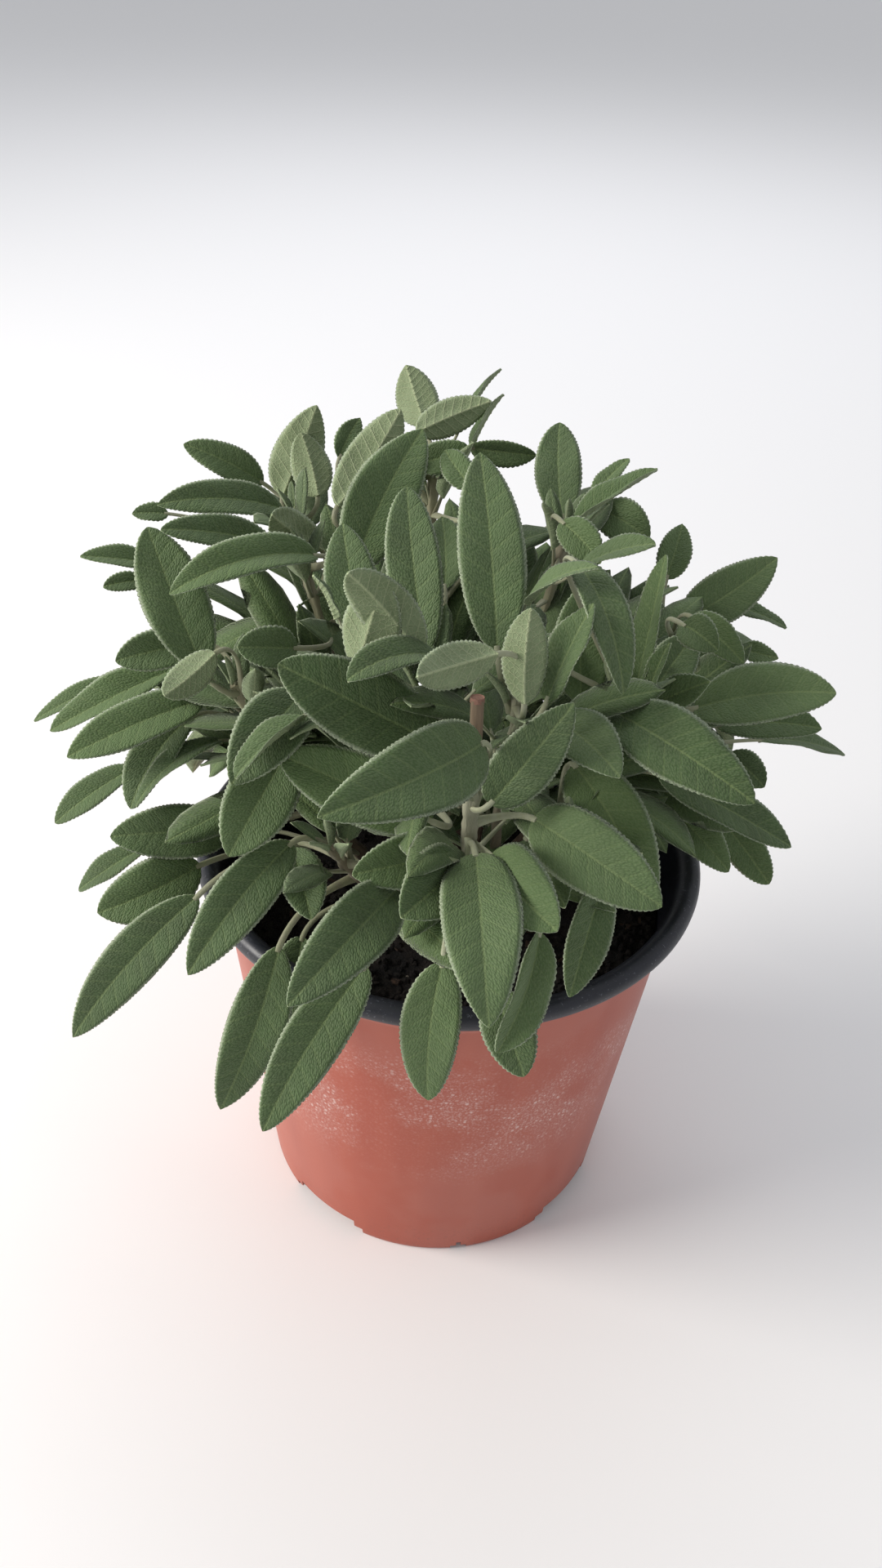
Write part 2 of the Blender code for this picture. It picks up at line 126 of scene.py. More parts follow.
# Leaves of each shoot: how many of the first ones the frame holds, then for each leaf the
# height at which its stalk leaves the shoot, where the blade starts, where its tip is, its
# width, its roll about its own length, its bow and how far its halves fold up (degrees)
STALK_PULL = 0.45
LEAVES = {
    "front": (
        5,
        (190, (6, -76, 198), (10, -126, 187), 21, 0, 45, 15),
        (197, (21, -66, 203), (53, -92, 197), 20, 40, 60, 15),
        (203, (9, -70, 210), (28, -65, 239), 16, 60, 10, 10),
        (204, (6, -70, 229), (-31, -109, 233), 21, -40, 40, 15),
        (156, (-1, -82, 164), (-3, -100, 128), 17, 0, 20, 10),
        (190, (10, -74, 196), (26, -104, 198), 20, 30, 40, 20),
        (194, (3, -75, 194), (-12, -102, 198), 20, -30, 40, 20),
        (207, (-1, -72, 215), (-24, -98, 224), 15, 5, 40, 25),
        (181, (2, -60, 184), (-26, -80, 192), 17, -40, 40, 15),
        (148, (14, -88, 160), (22, -107, 148), 15, 15, 20, 10),
    ),
    "centre": (
        2,
        (224, (9, -43, 240), (2, 2, 277), 19, -5, 15, 15),
        (212, (25, -45, 221), (41, -72, 222), 17, 20, 40, 15),
        (226, (16, -62, 236), (16, -52, 258), 13, 178, 10, 25),
        (222, (22, -57, 234), (32, -48, 258), 14, -10, 20, 20),
        (228, (8, -60, 249), (-11, -80, 253), 12, 120, 40, 20),
    ),
    "left_centre": (
        2,
        (206, (-4, -54, 216), (-46, -62, 244), 22, -60, 25, 10),
        (222, (-10, -33, 233), (-18, 2, 266), 16, -10, 15, 15),
        (216, (-28, -26, 232), (-36, 0, 255), 16, -10, 20, 15),
        (226, (-27, -54, 238), (-21, -50, 262), 17, -139, 10, 25),
        (228, (-11, -50, 242), (-29, -58, 268), 15, 80, 40, 20),
        (224, (-33, -42, 247), (-39, -44, 260), 7, 0, 20, 20),
        (227, (-5, -50, 241), (-28, -70, 245), 14, -10, 50, 20),
        (180, (-6, -58, 194), (-48, -54, 211), 20, -50, 20, 15),
    ),
    "front_left": (
        4,
        (172, (-14, -75, 184), (-38, -119, 183), 18, -28, 40, 15),
        (156, (-22, -83, 162), (-47, -115, 130), 17, -30, 20, 15),
        (164, (-48, -70, 155), (-64, -92, 109), 18, -40, 15, 15),
        (180, (-45, -58, 184), (-71, -85, 157), 17, -40, 35, 20),
        (178, (-46, -52, 177), (-38, -74, 170), 15, 0, 20, 25),
        (146, (-44, -52, 142), (-50, -78, 128), 14, -20, 20, 15),
    ),
    "low_right": (
        1,
        (182, (44, -58, 178), (35, -82, 153), 16, -45, 15, 15),
        (187, (34, -37, 201), (56, -72, 180), 20, 30, 40, 15),
        (176, (24, -86, 181), (14, -108, 158), 16, -50, 25, 35),
        (172, (21, -55, 187), (30, -84, 188), 15, 20, 30, 10),
    ),
    "left": (
        8,
        (140, (-76, -48, 153), (-113, -71, 113), 17, -45, 20, 15),
        (146, (-79, -30, 150), (-108, -47, 143), 20, -45, 35, 15),
        (160, (-71, -18, 155), (-105, -34, 163), 18, -50, 40, 15),
        (178, (-48, -43, 204), (-61, -68, 186), 20, -30, 40, 15),
        (148, (-113, 22, 149), (-138, 6, 135), 14, -15, 25, 20),
        (186, (-81, 0, 193), (-118, -24, 185), 18, -25, 30, 20),
        (194, (-91, 10, 198), (-129, -6, 182), 16, -20, 30, 30),
        (202, (-76, -16, 214), (-94, 6, 248), 20, -15, 10, 10),
        (130, (-106, 5, 128), (-130, -4, 113), 12, -15, 20, 25),
        (186, (-44, -37, 220), (-60, -62, 206), 19, -30, 45, 15),
        (196, (-42, -48, 220), (-58, -66, 211), 14, 20, 30, 35),
        (172, (-85, 0, 186), (-100, -26, 168), 16, -5, 50, 20),
        (168, (-74, -6, 182), (-97, -30, 172), 12, 10, 60, 20),
        (200, (-82, 6, 210), (-105, -6, 209), 14, -50, 30, 20),
        (204, (-71, -20, 222), (-84, -32, 214), 12, 130, 30, 30),
        (205, (-78, 0, 210), (-90, -4, 221), 9, -60, 20, 20),
    ),
    "upper_left": (
        2,
        (226, (-61, 52, 236), (-98, 34, 243), 14, -40, 35, 20),
        (228, (-43, -3, 246), (-81, -26, 243), 15, -30, 50, 30),
        (222, (-58, 18, 238), (-88, -2, 251), 12, -45, 30, 20),
        (190, (-106, 50, 215), (-127, 40, 221), 12, -20, 20, 25),
        (180, (-111, 58, 204), (-124, 50, 205), 8, -40, 20, 20),
        (218, (-47, 38, 229), (-60, 22, 247), 15, 90, 20, 20),
        (208, (-47, -22, 226), (-62, -32, 231), 13, -60, 30, 20),
    ),
    "back_left": (
        5,
        (156, (-115, 34, 179), (-142, 14, 172), 10, -10, 20, 20),
        (220, (-73, 86, 231), (-99, 80, 246), 13, -60, 30, 20),
        (224, (-65, 78, 230), (-54, 92, 258), 19, -135, 10, 20),
        (150, (-68, 80, 160), (-96, 106, 146), 20, 0, 30, 15),
        (130, (-88, 50, 150), (-124, 64, 134), 18, 0, 20, 15),
        (222, (-52, 74, 232), (-59, 86, 250), 15, 165, 10, 20),
        (200, (-106, 78, 221), (-118, 74, 222), 8, -40, 20, 20),
    ),
    "top": (
        3,
        (226, (-33, -2, 241), (-15, 33, 272), 21, 30, 10, 15),
        (232, (-41, 33, 246), (-23, 56, 270), 17, -136, 10, 20),
        (246, (-16, 89, 254), (-24, 106, 269), 16, 150, 20, 20),
        (247, (-18, 61, 261), (6, 72, 269), 13, -118, 20, 25),
        (240, (-44, 69, 248), (-38, 81, 258), 9, 35, 10, 20),
        (246, (0, 81, 265), (9, 91, 274), 8, -40, 20, 20),
        (244, (0, 68, 255), (10, 80, 269), 10, -45, 20, 25),
        (240, (-17, 54, 253), (-1, 54, 260), 11, 70, 20, 20),
        (242, (0, 69, 254), (22, 68, 253), 11, 100, 30, 25),
        (238, (1, 18, 260), (-8, 30, 267), 10, -35, 10, 20),
        (220, (-6, -4, 238), (-8, 20, 250), 14, -7, 10, 20),
    ),
    "upper_right": (
        1,
        (234, (31, 47, 240), (29, 72, 263), 16, -10, 10, 15),
        (237, (33, 28, 248), (58, 40, 261), 14, -10, 10, 35),
        (236, (40, 50, 246), (52, 61, 256), 8, 0, 10, 20),
        (232, (44, 54, 241), (60, 46, 235), 15, 60, 50, 20),
        (238, (28, 19, 251), (40, 8, 243), 12, 50, 30, 20),
        (230, (32, 0, 244), (52, -10, 258), 11, 20, 40, 20),
    ),
    "right": (
        2,
        (212, (41, -45, 225), (75, -76, 219), 20, 30, 50, 15),
        (178, (61, -25, 191), (100, -42, 179), 16, 20, 30, 20),
        (216, (49, -30, 220), (55, -12, 256), 14, -45, 10, 25),
        (160, (69, -5, 166), (90, -22, 152), 15, 30, 20, 20),
        (217, (16, -34, 250), (32, -46, 267), 10, 20, 40, 25),
        (218, (28, -30, 261), (41, -58, 238), 13, 0, 70, 20),
        (200, (35, -28, 216), (34, -8, 244), 18, 0, 10, 20),
        (204, (58, -10, 210), (71, 5, 223), 15, 25, 10, 20),
        (210, (57, -25, 216), (69, -32, 228), 11, 60, 10, 20),
        (216, (52, -35, 221), (56, -33, 240), 8, 0, 10, 30),
    ),
    "far_right": (
        4,
        (196, (70, -16, 209), (106, -28, 224), 20, 40, 20, 15),
        (164, (105, 26, 172), (142, 42, 157), 12, 10, 20, 20),
        (203, (75, 42, 208), (104, 50, 229), 18, 50, 10, 15),
        (190, (84, 58, 190), (118, 74, 178), 20, 0, 30, 15),
        (140, (93, 6, 151), (109, -8, 136), 14, 40, 20, 20),
        (186, (83, 2, 192), (113, -6, 198), 16, 25, 20, 20),
        (160, (94, 21, 169), (106, 12, 162), 12, 40, 20, 20),
        (200, (91, 58, 207), (112, 48, 204), 9, 10, 30, 20),
        (203, (68, 48, 220), (73, 62, 234), 12, 10, 20, 20),
        (205, (65, -3, 230), (74, -14, 228), 12, 50, 40, 25),
        (204, (72, 18, 222), (88, 6, 213), 12, 50, 40, 25),
        (202, (94, 36, 202), (106, 30, 202), 8, 40, 20, 20),
        (146, (80, 44, 150), (112, 60, 136), 18, 0, 20, 15),
    ),
    "back": (
        5,
        (196, (2, 92, 206), (6, 126, 190), 20, 0, 30, 15),
        (202, (-22, 84, 222), (-40, 112, 228), 20, 0, 30, 15),
        (206, (32, 82, 224), (54, 106, 224), 20, 0, 30, 15),
        (150, (-16, 90, 160), (-26, 114, 126), 20, 0, 20, 15),
        (160, (38, 80, 170), (60, 106, 142), 20, 0, 20, 15),
    ),
}

# Leaves that follow a rule fill the plant's back and its inside
SEED = 11
CANOPY_COUNT = 330
CANOPY_MIDDLE = Vector((0, 4, 164))
CANOPY_REACH = Vector((124, 114, 98))
GOLDEN_ANGLE = 2.39996
INNER_FROM, INNER_BELOW_TIP = 138, 22
RIM_ZONE, RIM_CLEAR_ABOVE = (64, 94), 152
FEW_FACES = {"Blade Rows": 8, "Blade Points": 6, "Stalk Rows": 2, "Stalk Points": 3,
             "Tooth Depth": 0.0}

# Colours
TOP_SHADE, TOP_GREEN, TOP_LIGHT = "#344325", "#455d33", "#637a4a"
# The first tone below is the hairs' colour, also painted on the leaf's pebble tops as painted light
TOP_HAIR_AND_LIGHT, VEIN_TOP = "#7e8d68", "#80905d"
UNDER_SHADE, UNDER_GREEN, VEIN_UNDER = "#65734f", "#8b9974", "#acb58d"
YOUNG, MARGIN_HAIR = "#8a997a", "#b6c2a4"
STALK_BROWN, STALK_GREEN, STALK_PALE = "#57463c", "#8a8f6b", "#b3b59d"
STALK_PALENESS = {"front": 0.9, "centre": 0.6, "left_centre": 0.5, "right": 0.45, "low_right": 0.6}
STEM_PALENESS = {"front": 0.75, "centre": 0.45, "left_centre": 0.4}
WOOD_DARK, WOOD_LIGHT = "#3f332a", "#74634f"
STEM_PURPLE, STEM_GREEN = "#6a5650", "#8c8f69"
PEAT_DARK, PEAT_LIGHT = "#0b0a0a", "#2a2420"
BARK_DARK, BARK_LIGHT, GRIT_DARK, GRIT_LIGHT = "#1f1611", "#4b382b", "#6f675c", "#a79f92"
ROOT_DARK, ROOT_LIGHT, PITH_DARK, PITH_LIGHT = "#8d7f6a", "#c9bda6", "#6d4c40", "#94705f"
FELT_TONE, DOWN_TONE = "#e4ecd9", "#e9eadb"
SKIN_DARK, SKIN_LIGHT, LIME, SOIL_STAIN = "#9d4029", "#b05339", "#eee0da", "#6b4436"
RIM_DARK, RIM_GREY, RIM_DUST = "#13151b", "#2a2c35", "#8a8d98"

# Stage, light and camera
CAMERA_PLACE, CAMERA_PITCH, CAMERA_ROLL, CAMERA_LENS = (-4, -315, 393), 35.9, 3.0, 27.0
FLOOR_TONE, ROOM_TONE, WINDOW_TONE, BACKGROUND_TONE = "#f4f3f1", "#f7f9ff", "#fffbf6", "#f6f8ff"
FLOOR_HALF = 20
ROOM_STRENGTH, WINDOW_POWER, BACKGROUND_POWER = 0.56, 33, 20


# ---------------------------------------------------------------- small helpers

def linear(hex_colour):
    """An sRGB hex colour as Blender's linear values."""
    parts = [int(hex_colour[i:i + 2], 16) / 255 for i in (1, 3, 5)]
    return (*(p / 12.92 if p <= 0.04045 else ((p + 0.055) / 1.055) ** 2.4 for p in parts), 1)


def add(tree, kind, *inputs, named=(), **settings):
    """Adds a node: its settings, then its inputs in order (None skips one) and by name.

    A kind may bring settings of its own. A node or socket is linked, anything else is set
    as the socket's own value.
    """
    kind, ready = kind if isinstance(kind, tuple) else (kind, {})
    node = tree.nodes.new(kind)
    for name, value in {**ready, **settings}.items():
        setattr(node, name, value)
    for key, value in [*enumerate(inputs), *dict(named).items()]:
        if isinstance(value, bpy.types.Node):
            value = value.outputs[0]
        if isinstance(value, bpy.types.NodeSocket):
            tree.links.new(value, node.inputs[key])
        elif value is not None:
            node.inputs[key].default_value = value
    return node


def chain(tree, value, *steps):
    """A value taken through a row of nodes; each step is a kind and its other inputs."""
    for kind, *inputs in steps:
        value = add(tree, kind, value, *inputs)
    return value


def in_scene(name, data):
    """A new object with this data, linked to the scene."""
    thing = bpy.data.objects.new(name, data)
    bpy.context.scene.collection.objects.link(thing)
    return thing


def new_mesh(name, points, edges=(), faces=()):
    """A mesh from points in metres."""
    mesh = bpy.data.meshes.new(name)
    mesh.from_pydata(points, edges, faces)
    return mesh


# Kinds of node, most with the settings that they are always given here
MATH, VECTOR, MIX = "ShaderNodeMath", "ShaderNodeVectorMath", "ShaderNodeMix"
RANGE, NOISE, VORONOI = "ShaderNodeMapRange", "ShaderNodeTexNoise", "ShaderNodeTexVoronoi"
ATTRIBUTE, COORDINATES = "ShaderNodeAttribute", "ShaderNodeTexCoord"
SPLIT, COMBINE = "ShaderNodeSeparateXYZ", "ShaderNodeCombineXYZ"
SMOOTH_SHADE, SET_POSITION = "GeometryNodeSetShadeSmooth", "GeometryNodeSetPosition"
REALIZE, SET_MATERIAL = "GeometryNodeRealizeInstances", "GeometryNodeSetMaterial"
TIMES, TIMES_PLUS, PLUS, MINUS, OVER, REMAINDER, POWER, ROOT, EXPONENTIAL = (
    (MATH, {"operation": word}) for word in (
        "MULTIPLY", "MULTIPLY_ADD", "ADD", "SUBTRACT", "DIVIDE", "MODULO", "POWER", "SQRT", "EXPONENT"))
SINE, COSINE, ANGLE, SIZE, SIGN, FLOOR, PINGPONG, ABOVE, LARGER = (
    (MATH, {"operation": word}) for word in (
        "SINE", "COSINE", "ARCTAN2", "ABSOLUTE", "SIGN", "FLOOR", "PINGPONG", "GREATER_THAN",
        "MAXIMUM"))
SCALED, SUM, STEP, SHARE, CROSS, UNIT = (
    (VECTOR, {"operation": word}) for word in (
        "SCALE", "ADD", "SUBTRACT", "DIVIDE", "CROSS_PRODUCT", "NORMALIZE"))
READ, READ_VECTOR = (
    ("GeometryNodeInputNamedAttribute", {"data_type": kind}) for kind in ("FLOAT", "FLOAT_VECTOR"))
STORE = "GeometryNodeStoreNamedAttribute"
KEEP = (STORE, {"data_type": "FLOAT", "domain": "POINT"})
MIX_NUMBER, MIX_VECTOR = ((MIX, {"data_type": kind}) for kind in ("FLOAT", "VECTOR"))
EASED = (RANGE, {"interpolation_type": "SMOOTHSTEP"})
SOCKETS = {int: "NodeSocketInt", float: "NodeSocketFloat", bpy.types.Material: "NodeSocketMaterial"}


def new_tree(name, inputs):
    """A Geometry Nodes tree with one geometry in and out, and these named inputs."""
    tree = bpy.data.node_groups.new(name, "GeometryNodeTree")
    tree.interface.new_socket("Geometry", in_out="INPUT", socket_type="NodeSocketGeometry")
    tree.interface.new_socket("Geometry", in_out="OUTPUT", socket_type="NodeSocketGeometry")
    for label, value in inputs.items():
        socket = tree.interface.new_socket(label, in_out="INPUT", socket_type=SOCKETS[type(value)])
        socket.default_value = value
    return tree, tree.nodes.new("NodeGroupInput").outputs


def grown(name, mesh, tree, **values):
    """The plain mesh object that a tree makes from a mesh, its inputs set by identifier."""
    seed = in_scene(name + "_seed", mesh)
    modifier = seed.modifiers.new("grow", "NODES")
    modifier.node_group = tree
    for item in tree.interface.items_tree:
        if item.in_out == "INPUT" and item.name in values:
            modifier[item.identifier] = values[item.name]
    evaluated = seed.evaluated_get(bpy.context.evaluated_depsgraph_get())
    plain = bpy.data.meshes.new_from_object(evaluated)
    bpy.data.objects.remove(seed, do_unlink=True)
    plain.name = name
    return in_scene(name, plain)


def finish_tree(tree, mesh, look):
    """The end of a tree: smooth, real and with its material."""
    mesh = chain(tree, mesh, (SMOOTH_SHADE,), (REALIZE,), (SET_MATERIAL, None, look))
    add(tree, "NodeGroupOutput", mesh)
    return tree


# ---------------------------------------------------------------- the sage leaf tree

def blank_strip(tree, rows, around, part):
    """A closed strip along X, one unit long, that remembers where each point sits on it."""
    line = add(tree, "GeometryNodeCurvePrimitiveLine", None, (1, 0, 0))
    line = add(tree, "GeometryNodeResampleCurve", line, named={"Count": rows})
    ring = add(tree, "GeometryNodeCurvePrimitiveCircle", around)
    strip = add(tree, "GeometryNodeCurveToMesh", line, ring, named={"Fill Caps": True})
    place = add(tree, "GeometryNodeInputPosition")
    split = add(tree, SPLIT, place)
    level, side = split.outputs[2], split.outputs[1]
    # Evenly round the section, then drawn together at the midrib
    even = chain(tree, level, (ANGLE, side), (SIZE,), (TIMES_PLUS, -2 / pi, 1.0))
    across = chain(tree, even, (SIZE,), (POWER, 1.45), (TIMES, add(tree, SIGN, even)))
    # Rows a little closer at the base and at the tip
    ease = chain(tree, split.outputs[0], (TIMES, pi), (COSINE,), (TIMES_PLUS, -0.5, 0.5))
    mixed = add(tree, MIX_NUMBER, 0.4, None, split.outputs[0], ease)
    along = add(tree, RANGE, mixed, 0.0, 1.0, 0.004, 0.999)
    face = chain(tree, level, (TIMES, 8.0), ("ShaderNodeClamp", -1.0, 1.0))
    top = add(tree, "FunctionNodeCompare", level, 0.0, data_type="FLOAT", operation="GREATER_THAN")
    for name, value in (("across", across), ("along", along), ("face", face), ("part", part)):
        strip = add(tree, KEEP, strip, None, name, value)
    strip = add(tree, STORE, strip, None, "top", top, data_type="BOOLEAN", domain="FACE")
    return add(tree, STORE, strip, None, "ring", place, data_type="FLOAT_VECTOR", domain="POINT")


def on_every_point(tree, points, strip):
    """The strip once for each leaf, carrying that leaf's own sizes."""
    placed = add(tree, "GeometryNodeInstanceOnPoints", points, None, strip)
    return add(tree, REALIZE, placed)


def atlas(tree, strip, cells):
    """The map a finished piece can be painted through: one cell a leaf, its two faces apart."""
    cell, along, across, blade = (
        add(tree, READ, name) for name in ("cell", "along", "across", "part"))
    column = add(tree, REMAINDER, cell, cells)
    row = chain(tree, cell, (OVER, cells), (FLOOR,))
    start = add(tree, MIX_NUMBER, blade, None, 0.02, 0.18)
    reach = add(tree, MIX_NUMBER, blade, None, 0.12, 0.79)
    u = chain(tree, along, (TIMES_PLUS, reach, start), (PLUS, column))
    top = add(tree, "GeometryNodeInputNamedAttribute", "top", data_type="BOOLEAN")
    lower = add(tree, TIMES_PLUS, top, 0.5, 0.25)
    v = chain(tree, across, (TIMES_PLUS, 0.22, lower), (PLUS, row))
    place = chain(tree, u, (COMBINE, v), (SHARE, cells))
    return add(tree, STORE, strip, None, "OFBake", place, data_type="FLOAT2", domain="CORNER")


def blade_section(tree, inputs):
    """Across and up from the midrib for every point of a blade, in mm."""
    along, across, face, width, chord, phase, fold, swing = (
        add(tree, READ, name) for name in (
            "along", "across", "face", "width", "chord", "phase", "fold", "wave"))
    edge = add(tree, SIZE, across)
    left = add(tree, MINUS, 1.0, along)
    # Outline: drawn in at the base, fullest before the middle, each leaf's tip its own
    base = add(tree, POWER, along, add(tree, READ, "base_shape"))
    tip = add(tree, POWER, left, add(tree, READ, "tip_shape"))
    half = chain(tree, base, (TIMES, tip), (TIMES, width))
    # Rounded teeth all along the margin
    travel = add(tree, TIMES, along, chord)
    beat = add(tree, OVER, travel, inputs["Tooth Spacing"])
    uneven = chain(tree, across, (TIMES_PLUS, 0.9, beat), (TIMES_PLUS, 0.53, phase), (SINE,))
    beat = add(tree, TIMES_PLUS, beat, pi, phase)
    beat = chain(tree, uneven, (TIMES_PLUS, 1.1, beat), (SINE,), (SIZE,), (MINUS, 0.5))
    rim = add(tree, POWER, edge, 8.0)
    fade = add(tree, TIMES, half, 0.3, use_clamp=True)
    tooth = chain(tree, beat, (TIMES, inputs["Tooth Depth"]), (TIMES, rim), (TIMES, fade))
    y = chain(tree, half, (PLUS, tooth), (TIMES, across))
    size = add(tree, SIZE, y)
    # The two halves fold up from the midrib and flatten towards the margin
    soft = chain(tree, y, (TIMES_PLUS, y, 0.5), (ROOT,), (MINUS, 0.7))
    flatten = add(tree, TIMES_PLUS, edge, inputs["Margin Droop"], 1.15)
    lift = chain(tree, soft, (TIMES, add(tree, SINE, fold)), (TIMES, flatten))
    y = add(tree, TIMES, y, add(tree, COSINE, fold))
    # A slow wave along the margin and a little twist from base to tip
    wave = add(tree, TIMES_PLUS, across, 2.1, phase)
    wave = add(tree, TIMES_PLUS, along, 9.0, wave)
    belly = add(tree, TIMES, along, left)
    wave = chain(tree, wave, (SINE,), (TIMES, belly), (TIMES, edge), (TIMES, edge))
    lift = add(tree, TIMES_PLUS, wave, swing, lift)
    twist = chain(tree, along, (MINUS, 0.5), (TIMES, add(tree, READ, "twist")))
    lift = add(tree, TIMES_PLUS, y, twist, lift)
    # Side veins run forward from the midrib; the midrib is a crease above, a ridge below
    gap = add(tree, READ, "vein_gap")
    vein = chain(tree, size, (TIMES_PLUS, -0.7, travel), (OVER, gap), (PINGPONG, 0.5),
                 (EASED, 0.0, 0.2, 1.0, 0.0), (TIMES, add(tree, MINUS, 1.0, rim)),
                 (TIMES, inputs["Vein Relief"]))
    taper = add(tree, TIMES_PLUS, left, 0.8, 0.2)
    rib = chain(tree, y, (TIMES, y), (TIMES, -2.2), (EXPONENTIAL,), (TIMES, taper))
    body = add(tree, MINUS, 1.0, add(tree, POWER, edge, 4.0))
    body = chain(tree, body, (ROOT,), (TIMES, inputs["Blade Thickness"]))
    above = chain(tree, body, (TIMES, 0.5), (MINUS, vein))
    above = add(tree, TIMES_PLUS, rib, -0.25, above)
    below = add(tree, TIMES_PLUS, vein, -1.3, add(tree, TIMES, body, -0.5))
    below = add(tree, TIMES_PLUS, rib, -0.85, below)
    upper = add(tree, TIMES_PLUS, face, 0.5, 0.5)
    lift = add(tree, PLUS, lift, add(tree, MIX_NUMBER, upper, None, below, above))
    # A slight sickle in the blade's own plane
    y = add(tree, TIMES_PLUS, belly, add(tree, READ, "sickle"), y)
    flat = add(tree, COMBINE, travel, add(tree, TIMES, across, half), face)
    return y, lift, flat


def laid_blade(tree, y, lift):
    """The section carried along the bowed midrib and turned to where the leaf grows."""
    along, half_bow, radius = (
        add(tree, READ, name) for name in ("along", "half_bow", "bend_radius"))
    angle = chain(tree, along, (TIMES_PLUS, -2.0, 1.0), (TIMES, half_bow))
    sine, cosine = (add(tree, kind, angle) for kind in (SINE, COSINE))
    first, level = (add(tree, kind, half_bow) for kind in (SINE, COSINE))
    back = add(tree, TIMES, lift, sine)
    x = chain(tree, first, (MINUS, sine), (TIMES, radius), (MINUS, back))
    z = chain(tree, cosine, (MINUS, level), (TIMES, radius))
    z = add(tree, TIMES_PLUS, lift, cosine, z)
    total = add(tree, READ_VECTOR, "base")
    for way, size in (("length_way", x), ("side_way", y), ("face_way", z)):
        part = add(tree, SCALED, add(tree, READ_VECTOR, way), None, None, size)
        total = add(tree, SUM, total, part)
    return total


def laid_stalk(tree):
    """A leaf stalk: broad where it clasps the stem, slim, then running under the blade."""
    along, scale = (add(tree, READ, name) for name in ("along", "stalk_size"))
    ring = add(tree, SPLIT, add(tree, READ_VECTOR, "ring"))
    root, pull, end, side = (
        add(tree, READ_VECTOR, name) for name in (
            "stalk_root", "stalk_pull", "stalk_end", "side_way"))
    first = add(tree, MIX_VECTOR, along, named={4: root, 5: pull}).outputs[1]
    second = add(tree, MIX_VECTOR, along, named={4: pull, 5: end}).outputs[1]
    middle = add(tree, MIX_VECTOR, along, named={4: first, 5: second}).outputs[1]
    run = add(tree, STEP, second, first)
    up = chain(tree, run, (CROSS, side), (UNIT,))
    wide = chain(tree, up, (CROSS, run), (UNIT,))
    left = add(tree, MINUS, 1.0, along)
    half = chain(tree, left, (POWER, 5.0), (TIMES_PLUS, 0.75, 0.85), (TIMES, scale),
                 (TIMES, ring.outputs[1]))
    deep = chain(tree, left, (TIMES_PLUS, 0.25, 0.5), (TIMES, scale), (TIMES, ring.outputs[2]))
    total = chain(tree, wide, (SCALED, None, None, half), (SUM, middle))
    return chain(tree, up, (SCALED, None, None, deep), (SUM, total))


def leaf_tree(blade_look, stalk_look):
    """Every point of the input grows one leaf, blade and stalk, from the sizes it carries."""
    tree, inputs = new_tree("sage leaf", {
        "Blade Rows": 112, "Blade Points": 28, "Stalk Rows": 14, "Stalk Points": 10,
        "Blade Thickness": 0.65, "Margin Droop": -0.35, "Tooth Spacing": 1.3,
        "Tooth Depth": 0.4, "Vein Relief": 0.14, "Atlas Cells": 5.0,
        "Blade": blade_look, "Stalk": stalk_look,
    })
    y, lift, flat = blade_section(tree, inputs)
    places = {"Blade": laid_blade(tree, y, lift), "Stalk": laid_stalk(tree)}
    both = add(tree, "GeometryNodeJoinGeometry")
    for part, place in reversed(places.items()):
        is_blade = float(part == "Blade")
        strip = blank_strip(tree, inputs[part + " Rows"], inputs[part + " Points"], is_blade)
        strip = on_every_point(tree, inputs["Geometry"], strip)
        if is_blade:
            strip = add(tree, STORE, strip, None, "leaf_place", flat,
                        data_type="FLOAT_VECTOR", domain="POINT")
        place = add(tree, SCALED, place, None, None, MM)
        strip = chain(tree, strip, (SET_POSITION, None, place),
                      (SET_MATERIAL, None, inputs[part]))
        tree.links.new(strip.outputs[0], both.inputs[0])
    both = atlas(tree, both, inputs["Atlas Cells"])
    add(tree, "NodeGroupOutput", chain(tree, both, (SMOOTH_SHADE,), (REALIZE,)))
    return tree


# ---------------------------------------------------------------- where the leaves grow

def smooth_path(path, count):
    """Points along a Bezier curve that has the given points as its handles."""
    out = []
    for i in range(count):
        level = [Vector(p) for p in path]
        while len(level) > 1:
            level = [a.lerp(b, i / (count - 1)) for a, b in zip(level, level[1:])]
        out.append(level[0])
    return out


def point_at_height(path, height):
    """Where a shoot's path passes the given height, and which way it runs there."""
    points = smooth_path(path, 33)
    near = min(range(1, len(points)), key=lambda i: abs(points[i].z - height))
    return points[near], (points[near] - points[near - 1]).normalized()


def blade_frame(start, tip, roll):
    """The turn that lays a blade's own length, width and face along its run."""
    run = tip - start
    heading = atan2(run.y, run.x)
    rise = asin(run.z / run.length)
    return Euler((radians(roll), -rise, heading)).to_matrix(), run.length


